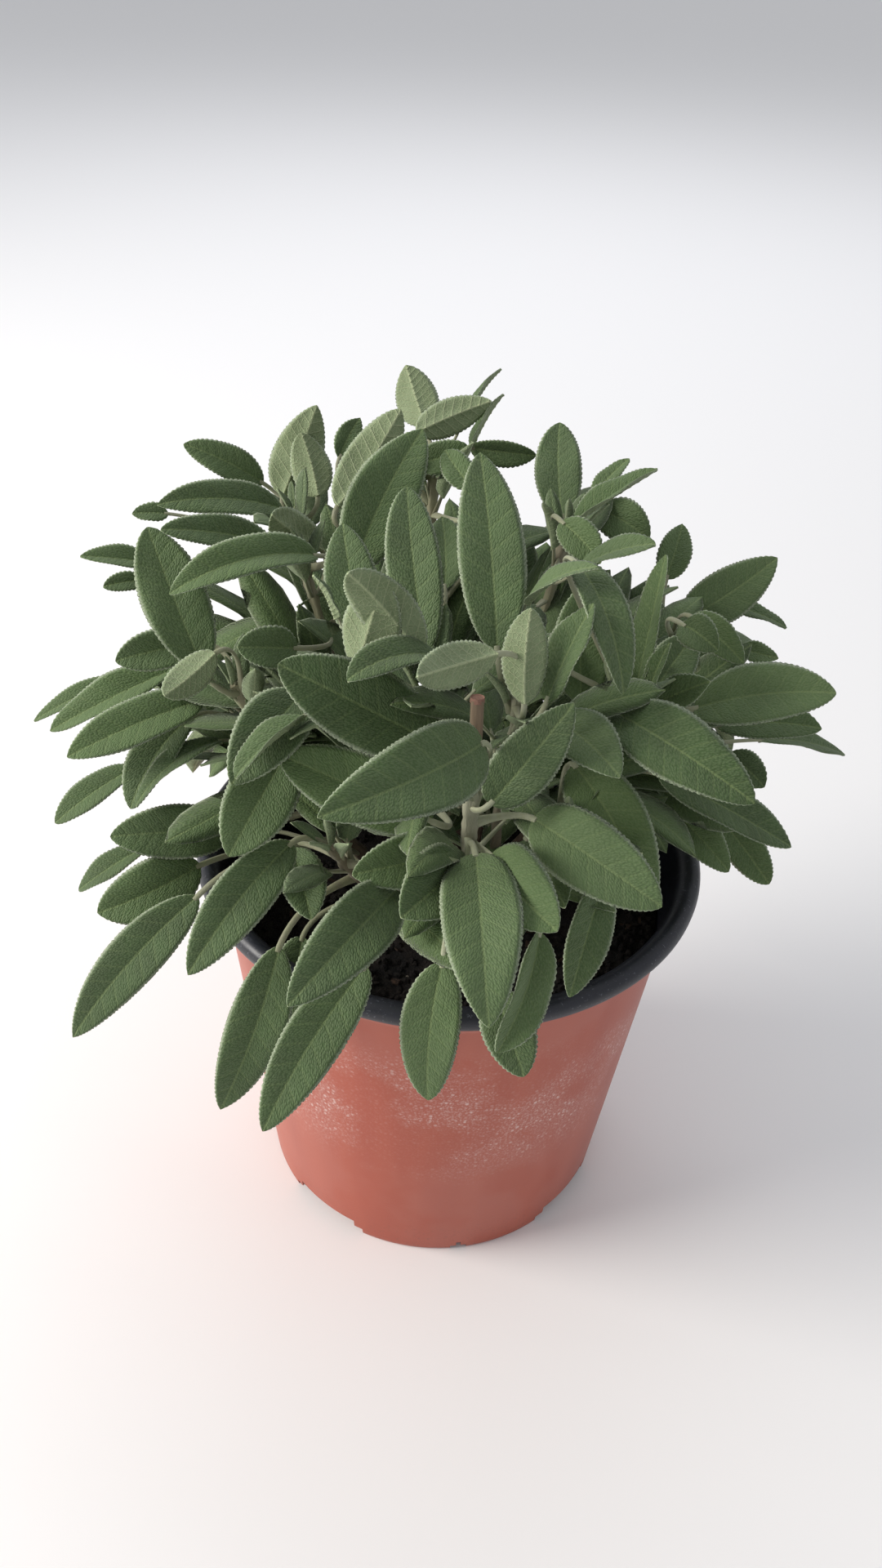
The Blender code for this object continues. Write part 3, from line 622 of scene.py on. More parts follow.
def leaf_sizes(path, leaf, rng):
    """Everything one leaf's point carries into the tree, from its row of the table."""
    joint, start, tip, width, roll, bow, fold = leaf
    start, tip = Vector(start), Vector(tip)
    turn, chord = blade_frame(start, tip, roll)
    half_bow = radians(max(bow, 4)) / 2
    heading = turn @ Vector((cos(half_bow), 0, sin(half_bow)))
    root, along = point_at_height(path, joint)
    reach = (start - root).length
    pull = start - heading * reach * STALK_PULL
    away = (pull - root) - along * along.dot(pull - root)
    root += away.normalized() * 0.9
    base_shape, tip_shape = rng.uniform(0.5, 0.62), rng.uniform(0.6, 0.78)
    fullest = base_shape / (base_shape + tip_shape)
    full = 0.5 / (fullest ** base_shape * (1 - fullest) ** tip_shape)
    return {
        "base": start, "length_way": turn.col[0], "side_way": turn.col[1],
        "face_way": turn.col[2], "stalk_root": root, "stalk_pull": pull,
        "stalk_end": start + heading * 1.6,
        "chord": chord, "width": width * full, "half_bow": half_bow,
        "base_shape": base_shape, "tip_shape": tip_shape,
        "bend_radius": chord / 2 / sin(half_bow), "fold": radians(fold),
        "wave": rng.uniform(1.2, 4.5) * width / 18, "phase": rng.uniform(0, 6.28),
        "twist": rng.uniform(-0.3, 0.3), "sickle": rng.uniform(-7, 7) * chord / 45,
        "vein_gap": chord / rng.uniform(8, 10), "stalk_size": 0.6 + width / 38,
        "tint": rng.random(),
    }


def points_mesh(name, sizes):
    """One loose vertex for each leaf, with its sizes as attributes."""
    mesh = new_mesh(name, [s["base"] * MM for s in sizes])
    for key, value in sizes[0].items():
        if isinstance(value, Vector):
            attribute = mesh.attributes.new(key, "FLOAT_VECTOR", "POINT")
            attribute.data.foreach_set("vector", [c for s in sizes for c in s[key]])
        else:
            attribute = mesh.attributes.new(key, "FLOAT", "POINT")
            attribute.data.foreach_set("value", [s[key] for s in sizes])
    return mesh


# ---------------------------------------------------------------- leaves that follow a rule

def young_leaves(path, rng, pairs=3):
    """The crossed pairs of small leaves still opening round the end of a shoot."""
    end, along = point_at_height(path, path[-1][2])
    side = along.cross(UP).normalized() if along.cross(UP).length > 0.1 else Vector((1, 0, 0))
    first = rng.uniform(0, pi)
    out = []
    for pair in range(pairs):
        for half in (0, pi):
            turn = Matrix.Rotation(first + pair * pi / 2 + half, 3, along)
            away = (turn @ side * (0.35 + 0.28 * pair) + along).normalized()
            length = (11, 16, 22)[pair] * rng.uniform(0.85, 1.15)
            start = end - along * (1 + 5 * pair) + away * (2 + 2.5 * pair)
            out.append((end.z - 6 * pair, start, start + away * length, length * 0.42,
                        rng.uniform(-25, 25), -14 + 12 * pair, 38 - 6 * pair))
    return out


def inner_leaves(path, rng):
    """Crossed pairs down the shoot, under the outer leaves, one pair at each joint."""
    out = []
    turn = rng.uniform(0, pi)
    height = path[-1][2] - INNER_BELOW_TIP
    while height > INNER_FROM:
        joint, along = point_at_height(path, height)
        turn += pi / 2
        for half in (0, pi):
            heading = turn + half + rng.uniform(-0.3, 0.3)
            rise = radians(rng.uniform(-5, 45))
            away = Vector((cos(heading) * cos(rise), sin(heading) * cos(rise), sin(rise)))
            start = joint + away * rng.uniform(10, 18) + UP * rng.uniform(2, 6)
            length = rng.uniform(26, 38)
            dip = radians(rng.uniform(0, 25))
            away = Vector((away.x, away.y, away.z - sin(dip))).normalized()
            out.append((height, start, start + away * length, length * 0.42,
                        rng.uniform(-30, 30), rng.uniform(15, 50), rng.uniform(10, 25)))
        height -= rng.uniform(15, 20)
    return out


def canopy_leaves(rng):
    """Leaves laid over the back and sides of the plant in a sunflower spiral."""
    out = []
    for i in range(CANOPY_COUNT):
        height = -0.35 + 1.2 * (i + 0.5) / CANOPY_COUNT
        around = i * GOLDEN_ANGLE
        level = sqrt(max(0, 1 - height * height))
        way = Vector((cos(around) * level, sin(around) * level, height))
        reach = rng.uniform(0.62, 0.97)
        if way.y < 0.3 - 0.25 * abs(way.x):
            if abs(way.x) < 0.3 or way.y < -0.35:
                continue
            reach *= 0.8
        tip = CANOPY_MIDDLE + Vector(a * b * reach for a, b in zip(way, CANOPY_REACH))
        out.append((tip, way))
    return out


def nearest_shoot(spot):
    """The shoot whose upper part passes closest to a spot, and the height there."""
    found = []
    for shoot, path in SHOOTS.items():
        for point in smooth_path(path, 17)[3:]:
            found.append(((point - spot).length, shoot, point))
    return min(found, key=lambda f: f[0])[1:]


def outer_leaves(rng):
    """The spiral's leaves as table rows, each on its nearest shoot."""
    out = {shoot: [] for shoot in SHOOTS}
    for tip, way in canopy_leaves(rng):
        length = rng.uniform(34, 46)
        droop = Vector((0, 0, -0.5 + 0.9 * max(way.z, -0.2)))
        run = (way + droop + Vector(rng.uniform(-0.35, 0.35) for _ in range(3))).normalized()
        start = tip - run * length
        shoot, joint = nearest_shoot(start)
        if (joint - start).length < 6:
            continue
        out[shoot].append((joint.z - 4, start, tip, length * rng.uniform(0.32, 0.44),
                           rng.uniform(-35, 35), rng.uniform(15, 45), rng.uniform(8, 24)))
    return out


def inside_box(leaf, margin=3):
    """Whether a rule's leaf stays in the frame's box and clear of the rim."""
    for spot in (Vector(leaf[1]), Vector(leaf[2])):
        for axis in range(3):
            low, high = CAD_BOX[0][axis] / MM, CAD_BOX[1][axis] / MM
            if not low + margin < spot[axis] < high - margin:
                return False
        if spot.z < RIM_CLEAR_ABOVE and RIM_ZONE[0] < spot.xy.length < RIM_ZONE[1]:
            return False
    return True


def all_leaves():
    """For each shoot, the leaves of its table and then those that follow a rule."""
    rng = random.Random(SEED)
    outer = outer_leaves(rng)
    out = {}
    for shoot, path in SHOOTS.items():
        table = list(LEAVES[shoot][1:])
        inner = inner_leaves(path, rng)
        if shoot == PRUNED:
            rule = outer[shoot] + [leaf for leaf in inner if leaf[0] < PRUNED_CLEAR_ABOVE]
        else:
            rule = outer[shoot] + inner + young_leaves(path, rng)
        out[shoot] = table, [leaf for leaf in rule if inside_box(leaf)]
    return out


# ---------------------------------------------------------------- stems

def stem_tree(bark):
    """Runs a rounded-square stem along every line of the input, swollen at its joints."""
    tree, inputs = new_tree("sage stem", {
        "Section Points": 4, "Swelling": 0.6, "Squareness": 1.75, "Bark": bark,
    })
    curve = add(tree, "GeometryNodeMeshToCurve", inputs["Geometry"])
    radius = add(tree, READ, "stem_radius")
    radius = chain(tree, add(tree, READ, "swelling"),
                   (TIMES_PLUS, inputs["Swelling"], radius), (TIMES, MM))
    section = add(tree, "GeometryNodeCurvePrimitiveQuadrilateral",
                  inputs["Squareness"], inputs["Squareness"])
    section = add(tree, "GeometryNodeFilletCurve", section, inputs["Section Points"], 0.5, True,
                  mode="POLY")
    stem = add(tree, "GeometryNodeCurveToMesh", curve, section, radius, True)
    return finish_tree(tree, stem, inputs["Bark"])


def stem_lines():
    """A line along each shoot from below the soil, thicker where leaves are joined."""
    points, edges, radii, swells, pales = [], [], [], [], []
    for shoot, path in SHOOTS.items():
        joints = sorted({leaf[0] for leaf in LEAVES[shoot][1:]})
        spots = smooth_path(path, STEM_STEPS)
        foot = spots[0] - (spots[1] - spots[0]).normalized() * STEM_BELOW_SOIL
        spots = [foot] + spots
        tip = PRUNED_RADIUS if shoot == PRUNED else STEM_TIP_RADIUS
        first = len(points)
        for i, spot in enumerate(spots):
            part = i / (len(spots) - 1)
            here = spot * 0.05
            bend = Vector((noise.noise(here), noise.noise(here + UP * 9), 0)) * STEM_WANDER
            points.append((spot + bend * min(1, 8 * part * (1 - part))) * MM)
            radii.append(STEM_RADIUS * 1.1 + (tip - STEM_RADIUS * 1.1) * part)
            dry = shoot == PRUNED and spot.z > PRUNED_DRY_ABOVE
            pales.append(-0.3 if dry else STEM_PALENESS.get(shoot, 0.1))
            swells.append(max(EULER ** (-((spot.z - z) / JOINT_SPREAD) ** 2) for z in joints))
            if i:
                edges.append((first + i - 1, first + i))
    mesh = new_mesh("stem_lines", points, edges)
    for name, values in (("stem_radius", radii), ("swelling", swells), ("pale", pales)):
        mesh.attributes.new(name, "FLOAT", "POINT").data.foreach_set("value", values)
    return mesh


# ---------------------------------------------------------------- pot

def outer_radius(height):
    """The outside of the tapering wall at a height."""
    flare = WALL_TOP_RADIUS - FOOT_RADIUS
    return FOOT_RADIUS + flare * (height - WALL_FROM) / (STEP_HEIGHT - WALL_FROM)


def skin_profile():
    """From the middle of the floor up the inside, over the top edge, down to the foot."""
    inside = SKIN_THICK
    floor_top = FLOOR_UNDERSIDE + FLOOR_THICK
    step, top = outer_radius(STEP_HEIGHT), outer_radius(SKIN_TOP)
    return [
        (0, floor_top),
        (outer_radius(floor_top) - inside - 3, floor_top),
        (outer_radius(8) - inside, 8),
        (step - inside, STEP_HEIGHT),
        (top - inside + 0.5, SKIN_TOP),
        (top + 0.4, SKIN_TOP),
        (top + 0.6, SKIN_TOP - 0.3),
        (step + 0.75, STEP_HEIGHT + 1.2),
        (step + 0.6, STEP_HEIGHT + 0.6),
        (step + 0.1, STEP_HEIGHT - 0.2),
        (step, STEP_HEIGHT - 1),
        (FOOT_RADIUS, WALL_FROM),
        (FOOT_RADIUS - 0.15, 1.4),
        (FOOT_RADIUS - 0.5, 0.4),
        (FOOT_RADIUS - 1, 0),
        (FOOT_RADIUS - 4.1, 0),
        (FOOT_RADIUS - 4.6, 1),
        (FOOT_RADIUS - 5.2, FLOOR_UNDERSIDE),
        (0, FLOOR_UNDERSIDE),
    ]


def lining_profile():
    """The dark lining: up its inside, round the rolled rim, down its outside."""
    outside = SKIN_THICK + GAP
    inside = outside + LINING_THICK
    under = FLOOR_UNDERSIDE + FLOOR_THICK + GAP
    floor_top = under + FLOOR_THICK
    rolled_rim = (
        (8.1, 139.5), (7.6, 141.6), (6.6, 143.2), (5.2, 144.4), (3.6, POT_HEIGHT), (2.2, 144.8),
        (1.0, 144.0), (0.3, 142.9), (0, 141.6), (0.2, 140.2), (0.7, 139.2), (1.4, SKIN_TOP + GAP))
    return [
        (0, floor_top),
        (outer_radius(floor_top) - inside - 3, floor_top),
        (outer_radius(9.5) - inside, 9.5),
        (outer_radius(STEP_HEIGHT) - inside, STEP_HEIGHT),
        *((RIM_RADIUS - inset, z) for inset, z in rolled_rim),
        (outer_radius(SKIN_TOP) - outside + 0.5, SKIN_TOP + GAP),
        (outer_radius(STEP_HEIGHT) - outside, STEP_HEIGHT),
        (outer_radius(8.8) - outside, 8.8),
        (outer_radius(under) - outside - 3, under),
        (0, under),
    ]


def turned(name, profile, look):
    """A solid of revolution about +Z from (radius, height) points in mm."""
    points = [(r * MM, 0, z * MM) for r, z in profile]
    mesh = new_mesh(name, points, [(i, i + 1) for i in range(len(points) - 1)])
    mesh.materials.append(look)
    piece = in_scene(name, mesh)
    screw = piece.modifiers.new("turn", "SCREW")
    screw.steps = screw.render_steps = TURN_STEPS
    screw.use_merge_vertices = True
    screw.merge_threshold = 0.00001
    return piece


def arch_cutter(width, height, depth, angle):
    """A rounded opening standing across the foot ring."""
    shape = bmesh.new()
    bmesh.ops.create_cube(shape, size=1)
    top = [e for e in shape.edges if all(v.co.z > 0 for v in e.verts) and
           abs(e.verts[0].co.x - e.verts[1].co.x) < 0.1]
    for v in shape.verts:
        v.co = Vector((v.co.x * width, v.co.y * depth - FOOT_RADIUS + 2.5,
                       (v.co.z + 0.5) * (height + 5) - 5)) * MM
    bmesh.ops.bevel(shape, geom=top, offset=height * 0.5 * MM, segments=4, affect="EDGES")
    bmesh.ops.rotate(shape, verts=shape.verts, matrix=Matrix.Rotation(radians(angle), 3, "Z"))
    return in_scene("cutter", mesh_from("cutter", shape))


def drain_cutter(angle):
    """A round drainage hole through the floor."""
    shape = bmesh.new()
    bmesh.ops.create_cone(shape, cap_ends=True, segments=32, radius1=DRAIN_RADIUS * MM,
                          radius2=DRAIN_RADIUS * MM, depth=12 * MM)
    middle = Vector((DRAIN_CIRCLE * cos(angle), DRAIN_CIRCLE * sin(angle), 5)) * MM
    bmesh.ops.translate(shape, verts=shape.verts, vec=middle)
    return in_scene("cutter", mesh_from("cutter", shape))


def mesh_from(name, shape):
    """A mesh with what a bmesh holds."""
    mesh = bpy.data.meshes.new(name)
    shape.to_mesh(mesh)
    shape.free()
    return mesh


def cut_and_settle(piece, cutters):
    """Cuts the openings, then leaves the piece as a plain mesh with crisp edges."""
    for cutter in cutters:
        boolean = piece.modifiers.new("cut", "BOOLEAN")
        boolean.operation, boolean.solver, boolean.object = "DIFFERENCE", "EXACT", cutter
    evaluated = piece.evaluated_get(bpy.context.evaluated_depsgraph_get())
    plain = bpy.data.meshes.new_from_object(evaluated)
    piece.modifiers.clear()
    piece.data = plain
    plain.name = piece.name
    plain.shade_smooth()
    plain.set_sharp_from_angle(angle=radians(CREASE_ANGLE))
    for cutter in cutters:
        bpy.data.objects.remove(cutter, do_unlink=True)


def make_pot(looks):
    """The skin with its arched foot, the lining with its rim, and the drainage holes."""
    skin = turned("terracotta_skin", skin_profile(), looks["skin"])
    lining = turned("black_lining", lining_profile(), looks["lining"])
    angles = [(i + 0.5) * 2 * pi / DRAIN_COUNT for i in range(DRAIN_COUNT)]
    arches = [arch_cutter(ARCH_WIDTH, ARCH_HEIGHT, 16, a) for a in ARCH_ANGLES]
    notches = [arch_cutter(NOTCH_WIDTH, NOTCH_HEIGHT, 12, a) for a in NOTCH_ANGLES]
    cut_and_settle(skin, arches + notches + [drain_cutter(a) for a in angles])
    cut_and_settle(lining, [drain_cutter(a) for a in angles])
    return skin, lining


# ---------------------------------------------------------------- soil

def soil_profile():
    """Radius and height from the middle of the mound out to the wall and down to the floor."""
    inside = SKIN_THICK + LINING_THICK + 2 * GAP
    base = FLOOR_UNDERSIDE + 2 * FLOOR_THICK + 2 * GAP
    edge = outer_radius(SOIL_EDGE) - inside
    top = [(edge * i / SOIL_RINGS, SOIL_TOP - (SOIL_TOP - SOIL_EDGE) * (i / SOIL_RINGS) ** 3)
           for i in range(1, SOIL_RINGS + 1)]
    wall = [(outer_radius(z) - inside, z) for z in (112, 95, 70, 40, 11)]
    return top + wall + [(outer_radius(base) - inside - 4, base)]


def soil_mesh(spokes=160):
    """The mound with clods, closed down to the pot's floor."""
    shape = bmesh.new()
    rings = []
    for r, z in soil_profile():
        ring = []
        for s in range(spokes):
            turn = 2 * pi * s / spokes
            spot = Vector((r * cos(turn), r * sin(turn), z))
            if z > SOIL_LOOSE_ABOVE:
                clods = noise.noise(spot * 0.11) * 1.6 + noise.noise(spot * 0.35) * 0.9
                spot.z += min(1, (CLODS_WITHIN - r) / 8) * clods
            ring.append(shape.verts.new(spot * MM))
        rings.append(ring)
    middle = shape.verts.new(Vector((0, 0, SOIL_TOP)) * MM)
    bottom = shape.verts.new(Vector((0, 0, soil_profile()[-1][1])) * MM)
    for s in range(spokes):
        n = (s + 1) % spokes
        shape.faces.new((middle, rings[0][s], rings[0][n]))
        shape.faces.new((bottom, rings[-1][n], rings[-1][s]))
        for a, b in zip(rings, rings[1:]):
            shape.faces.new((a[s], b[s], b[n], a[n]))
    return mesh_from("soil_mound", shape)


def root_tree(look):
    """A thin root that tapers along its line and leaves the soil in one low loop."""
    tree, inputs = new_tree("fine root", {"Thickness": 0.55 * MM, "Root": look})
    curve = add(tree, "GeometryNodeMeshToCurve", inputs["Geometry"])
    along = add(tree, "GeometryNodeSplineParameter")
    radius = add(tree, RANGE, along, 0.0, 1.0, 1.0, 0.5)
    radius = add(tree, TIMES, radius, inputs["Thickness"])
    ring = add(tree, "GeometryNodeCurvePrimitiveCircle", 10)
    root = add(tree, "GeometryNodeCurveToMesh", curve, ring, radius, True)
    return finish_tree(tree, root, inputs["Root"])


def root_line(count=28):
    """The line that the root follows over the soil."""
    points = [p * MM for p in smooth_path(ROOT_PATH, count)]
    return new_mesh("root_line", points, [(i, i + 1) for i in range(count - 1)])


def crumbs(tree, mound, shape, density, kind, look):
    """One kind of bit strewn over the top of the mound, turned and sized at random."""
    seed, smallest, largest, tip = kind
    smallest, largest = (tuple(side * MM for side in size) for size in (smallest, largest))
    normal = add(tree, SPLIT, add(tree, "GeometryNodeInputNormal"))
    place = add(tree, SPLIT, add(tree, "GeometryNodeInputPosition"))
    high = add(tree, ABOVE, place.outputs[2], SOIL_LOOSE_ABOVE * MM)
    facing = add(tree, ABOVE, normal.outputs[2], 0.4)
    spots = add(tree, "GeometryNodeDistributePointsOnFaces", mound, add(tree, TIMES, high, facing),
                named={"Density": density, "Seed": seed})
    turn = add(tree, "FunctionNodeRandomValue", (-tip, -tip, 0), (tip, tip, 6.28),
               named={"Seed": seed}, data_type="FLOAT_VECTOR")
    turn = add(tree, "FunctionNodeEulerToRotation", turn)
    size = add(tree, "FunctionNodeRandomValue", smallest, largest, named={"Seed": seed + 1},
               data_type="FLOAT_VECTOR")
    bits = add(tree, "GeometryNodeInstanceOnPoints", spots, None, shape,
               named={"Rotation": turn, "Scale": size})
    rough = add(tree, NOISE, None, None, 900.0).outputs[1]
    rough = chain(tree, rough, (STEP, (0.5, 0.5, 0.5)), (SCALED, None, None, 0.9 * MM))
    return chain(tree, bits, (REALIZE,), (SET_POSITION, None, None, rough),
                 (SET_MATERIAL, None, look))


def soil_tree(peat, bark, grit):
    """The mound strewn with crumbs of peat, splinters of bark and a few pale grains."""
    tree, inputs = new_tree("potting soil", {
        "Crumbs": 90000.0, "Splinters": 12000.0, "Grains": 1600.0,
        "Peat": peat, "Bark": bark, "Grit": grit,
    })
    mound = inputs["Geometry"]
    ball = add(tree, "GeometryNodeMeshIcoSphere", 1.0, 1)
    splinter = add(tree, "GeometryNodeMeshCube", (2.0, 2.0, 2.0))
    strewn = ((ball, "Grains", GRAIN, "Grit"), (splinter, "Splinters", SPLINTER, "Bark"),
              (ball, "Crumbs", CRUMB, "Peat"))
    parts = [crumbs(tree, mound, shape, inputs[count], kind, inputs[look])
             for shape, count, kind, look in strewn]
    parts.append(chain(tree, mound, (SMOOTH_SHADE,), (SET_MATERIAL, None, inputs["Peat"])))
    whole = add(tree, "GeometryNodeJoinGeometry")
    for part in parts:
        tree.links.new(part.outputs[0], whole.inputs[0])
    add(tree, "NodeGroupOutput", add(tree, REALIZE, whole))
    return tree


# ---------------------------------------------------------------- materials

def new_look(name, **sockets):
    """A material whose even values sit on the shader's own sockets."""
    look = bpy.data.materials.new(name)
    look.use_nodes = True
    shader = look.node_tree.nodes["Principled BSDF"]
    for key, value in sockets.items():
        shader.inputs[key.replace("_", " ")].default_value = value
    return look, look.node_tree, shader


def finish_look(tree, shader, colour, height, depth_mm, rough=None):
    """Links the pattern's colour, its relief in mm and, where it varies, its roughness."""
    tree.links.new(colour, shader.inputs["Base Color"])
    bump = add(tree, "ShaderNodeBump", 1.0, depth_mm * MM, named={"Height": height})
    tree.links.new(bump.outputs[0], shader.inputs["Normal"])
    if rough is not None:
        tree.links.new(rough.outputs[0], shader.inputs["Roughness"])


def blend_colour(tree, share, first, second):
    """Two colours mixed by a share, given as hex or as a socket."""
    ends = [linear(c) if isinstance(c, str) else c for c in (first, second)]
    return add(tree, MIX, share, data_type="RGBA", clamp_factor=True,
               named={6: ends[0], 7: ends[1]}).outputs[2]


def felted_leaf():
    """Sage leaf: matt hairs over a pebbled green blade, their colour painted lighter on the pebble tops
    as painted light and left darker in the grooves as painted shade; paler and veined underneath.
    """
    look, tree, shader = new_look("felted sage leaf", Roughness=0.6, IOR=1.42,
                                  Specular_IOR_Level=0.3, Sheen_Weight=0.17, Sheen_Roughness=0.5,
                                  Sheen_Tint=linear(FELT_TONE))
    place = add(tree, ATTRIBUTE, attribute_name="leaf_place").outputs["Vector"]
    forward, side, face = add(tree, SPLIT, place).outputs
    tint, young, across, gap = (add(tree, ATTRIBUTE, attribute_name=name).outputs["Fac"]
                                for name in ("tint", "young", "across", "vein_gap"))
    upper = add(tree, EASED, face, -0.4, 0.4)
    own = add(tree, TIMES, tint, 700.0)
    spot = add(tree, SUM, place, add(tree, COMBINE, own))
    # Wrinkled pebbles 0.65 mm across, in rows along the side veins
    aside = add(tree, SIZE, side)
    bent = add(tree, TIMES_PLUS, aside, -0.7, forward)
    pebble = add(tree, COMBINE, bent, add(tree, TIMES_PLUS, tint, 700.0, side))
    pebble = add(tree, VORONOI, pebble, None, 1 / 0.65, voronoi_dimensions="2D")
    pebble = add(tree, EASED, pebble, 0.1, 0.8, 1.0, 0.0)
    net = add(tree, VORONOI, spot, None, 1 / 1.4, voronoi_dimensions="2D",
              feature="DISTANCE_TO_EDGE")
    net = add(tree, EASED, net, 0.02, 0.16, 1.0, 0.0)
    # Hairs far finer than a tenth of a millimetre, drawn 0.4 mm apart so that they show
    hair = add(tree, NOISE, spot, None, 1 / 0.4, 2.0, noise_dimensions="2D")
    patch = add(tree, NOISE, spot, None, 1 / 9, 2.0, noise_dimensions="2D")
    # Side veins leave the midrib forwards; their spacing comes with each leaf
    vein = chain(tree, bent, (OVER, gap), (PINGPONG, 0.5), (EASED, 0.02, 0.1, 1.0, 0.0))
    rib = add(tree, EASED, aside, 0.12, 0.5, 1.0, 0.0)
    edge = chain(tree, across, (SIZE,), (EASED, 0.88, 0.985, 0.0, 1.0), (TIMES, hair))
    edge = add(tree, TIMES, edge, 1.35, use_clamp=True)
    # Upper face, then underside
    top = blend_colour(tree, patch.outputs[0], TOP_SHADE, TOP_GREEN)
    # Hair colour laid on the raised pebble tops and kept out of the grooves between them: painted light
    # on the tops, painted shade in the grooves
    hair_lit_on_pebble_tops = add(tree, TIMES, pebble, hair)
    for mask, amount, tone in ((tint, 0.55, TOP_LIGHT), (hair_lit_on_pebble_tops, 0.42, TOP_HAIR_AND_LIGHT),
                               (vein, 0.16, VEIN_TOP), (rib, 0.4, VEIN_TOP)):
        top = blend_colour(tree, add(tree, TIMES, mask, amount), top, tone)
    under = blend_colour(tree, patch.outputs[0], UNDER_SHADE, UNDER_GREEN)
    for mask, amount in ((net, 0.3), (vein, 0.45), (rib, 0.85)):
        under = blend_colour(tree, add(tree, TIMES, mask, amount), under, VEIN_UNDER)
    colour = blend_colour(tree, upper.outputs[0], under, top)
    colour = blend_colour(tree, add(tree, TIMES, young, 0.45), colour, YOUNG)
    colour = blend_colour(tree, edge.outputs[0], colour, MARGIN_HAIR)
    # Relief in mm: pebbles and creases above, net and ribs below
    high = add(tree, TIMES_PLUS, rib, -0.5, add(tree, TIMES_PLUS, vein, -0.35, pebble))
    low = add(tree, TIMES_PLUS, net, 0.6, vein)
    relief = add(tree, MIX_NUMBER, upper, None, low, high)
    relief = add(tree, TIMES_PLUS, hair, 0.35, relief)
    finish_look(tree, shader, colour, relief, 0.14)
    return look


def downy_stalk():
    """Leaf stalk: brownish purple where old, almost white-green where young, short down."""
    look, tree, shader = new_look("downy sage stalk", Roughness=0.6, IOR=1.42,
                                  Sheen_Weight=0.3, Sheen_Roughness=0.4,
                                  Sheen_Tint=linear(DOWN_TONE))
    pale = add(tree, ATTRIBUTE, attribute_name="pale").outputs["Fac"]
    along = add(tree, ATTRIBUTE, attribute_name="along").outputs["Fac"]
    place = add(tree, COORDINATES).outputs["Object"]
    streak = add(tree, NOISE, place, None, 1 / (3 * MM), 2.0)
    old = blend_colour(tree, streak.outputs[0], STALK_BROWN, STALK_GREEN)
    young = blend_colour(tree, streak.outputs[0], STALK_PALE, STALK_GREEN)
    share = add(tree, TIMES_PLUS, along, 0.3, pale)
    colour = blend_colour(tree, share.outputs[0], old, young)
    down = add(tree, NOISE, place, None, 1 / (0.4 * MM), 2.0)
    finish_look(tree, shader, colour, down.outputs[0], 0.12)
    return look


def stem_bark():
    """Shoot: brown and corky at the soil, downy green with a purple cast higher up."""
    look, tree, shader = new_look("sage shoot bark", Roughness=0.7, IOR=1.45,
                                  Sheen_Weight=0.2, Sheen_Roughness=0.4,
                                  Sheen_Tint=linear(DOWN_TONE))
    place = add(tree, COORDINATES).outputs["Object"]
    height = add(tree, SPLIT, place)
    stretched = add(tree, "ShaderNodeMapping", place, named={"Scale": (1, 1, 0.15)})
    fibre = add(tree, NOISE, stretched, None, 1 / (0.9 * MM), 3.0)
    patch = add(tree, NOISE, place, None, 1 / (9 * MM), 2.0)
    pale = add(tree, ATTRIBUTE, attribute_name="pale").outputs["Fac"]
    high = add(tree, RANGE, height.outputs[2], 150 * MM, 215 * MM, 0.0, 1.0)
    wood = blend_colour(tree, fibre.outputs[0], WOOD_DARK, WOOD_LIGHT)
    green = blend_colour(tree, patch.outputs[0], STEM_PURPLE, STEM_GREEN)
    green = blend_colour(tree, pale, green, STALK_PALE)
    dry = add(tree, RANGE, pale, -0.3, 0.1, 1.0, 0.0)
    green = blend_colour(tree, dry.outputs[0], green, WOOD_LIGHT)
    colour = blend_colour(tree, high.outputs[0], wood, green)
    finish_look(tree, shader, colour, fibre.outputs[0], 0.35)
    return look


def cut_pith():
    """The pruned end: a dry ring of bark round paler pith."""
    look, tree, shader = new_look("dry cut pith", Roughness=0.85)
    place = add(tree, COORDINATES).outputs["Object"]
    grain = add(tree, NOISE, place, None, 1 / (0.5 * MM), 3.0)
    colour = blend_colour(tree, grain.outputs[0], PITH_DARK, PITH_LIGHT)
    finish_look(tree, shader, colour, grain.outputs[0], 0.2)
    return look


def peat(name, dark, light, roughness):
    """Potting compost, bark or grit: dull and broken, its grain under a millimetre."""
    look, tree, shader = new_look(name, Roughness=roughness, IOR=1.4)
    place = add(tree, COORDINATES).outputs["Object"]
    patch = add(tree, NOISE, place, None, 1 / (5 * MM), 4.0)
    grain = add(tree, NOISE, place, None, 1 / (0.7 * MM), 4.0)
    share = add(tree, TIMES, patch.outputs[0], grain.outputs[0])
    share = add(tree, RANGE, share, 0.15, 0.4)
    colour = blend_colour(tree, share.outputs[0], dark, light)
    finish_look(tree, shader, colour, grain.outputs[0], 0.5)
    return look


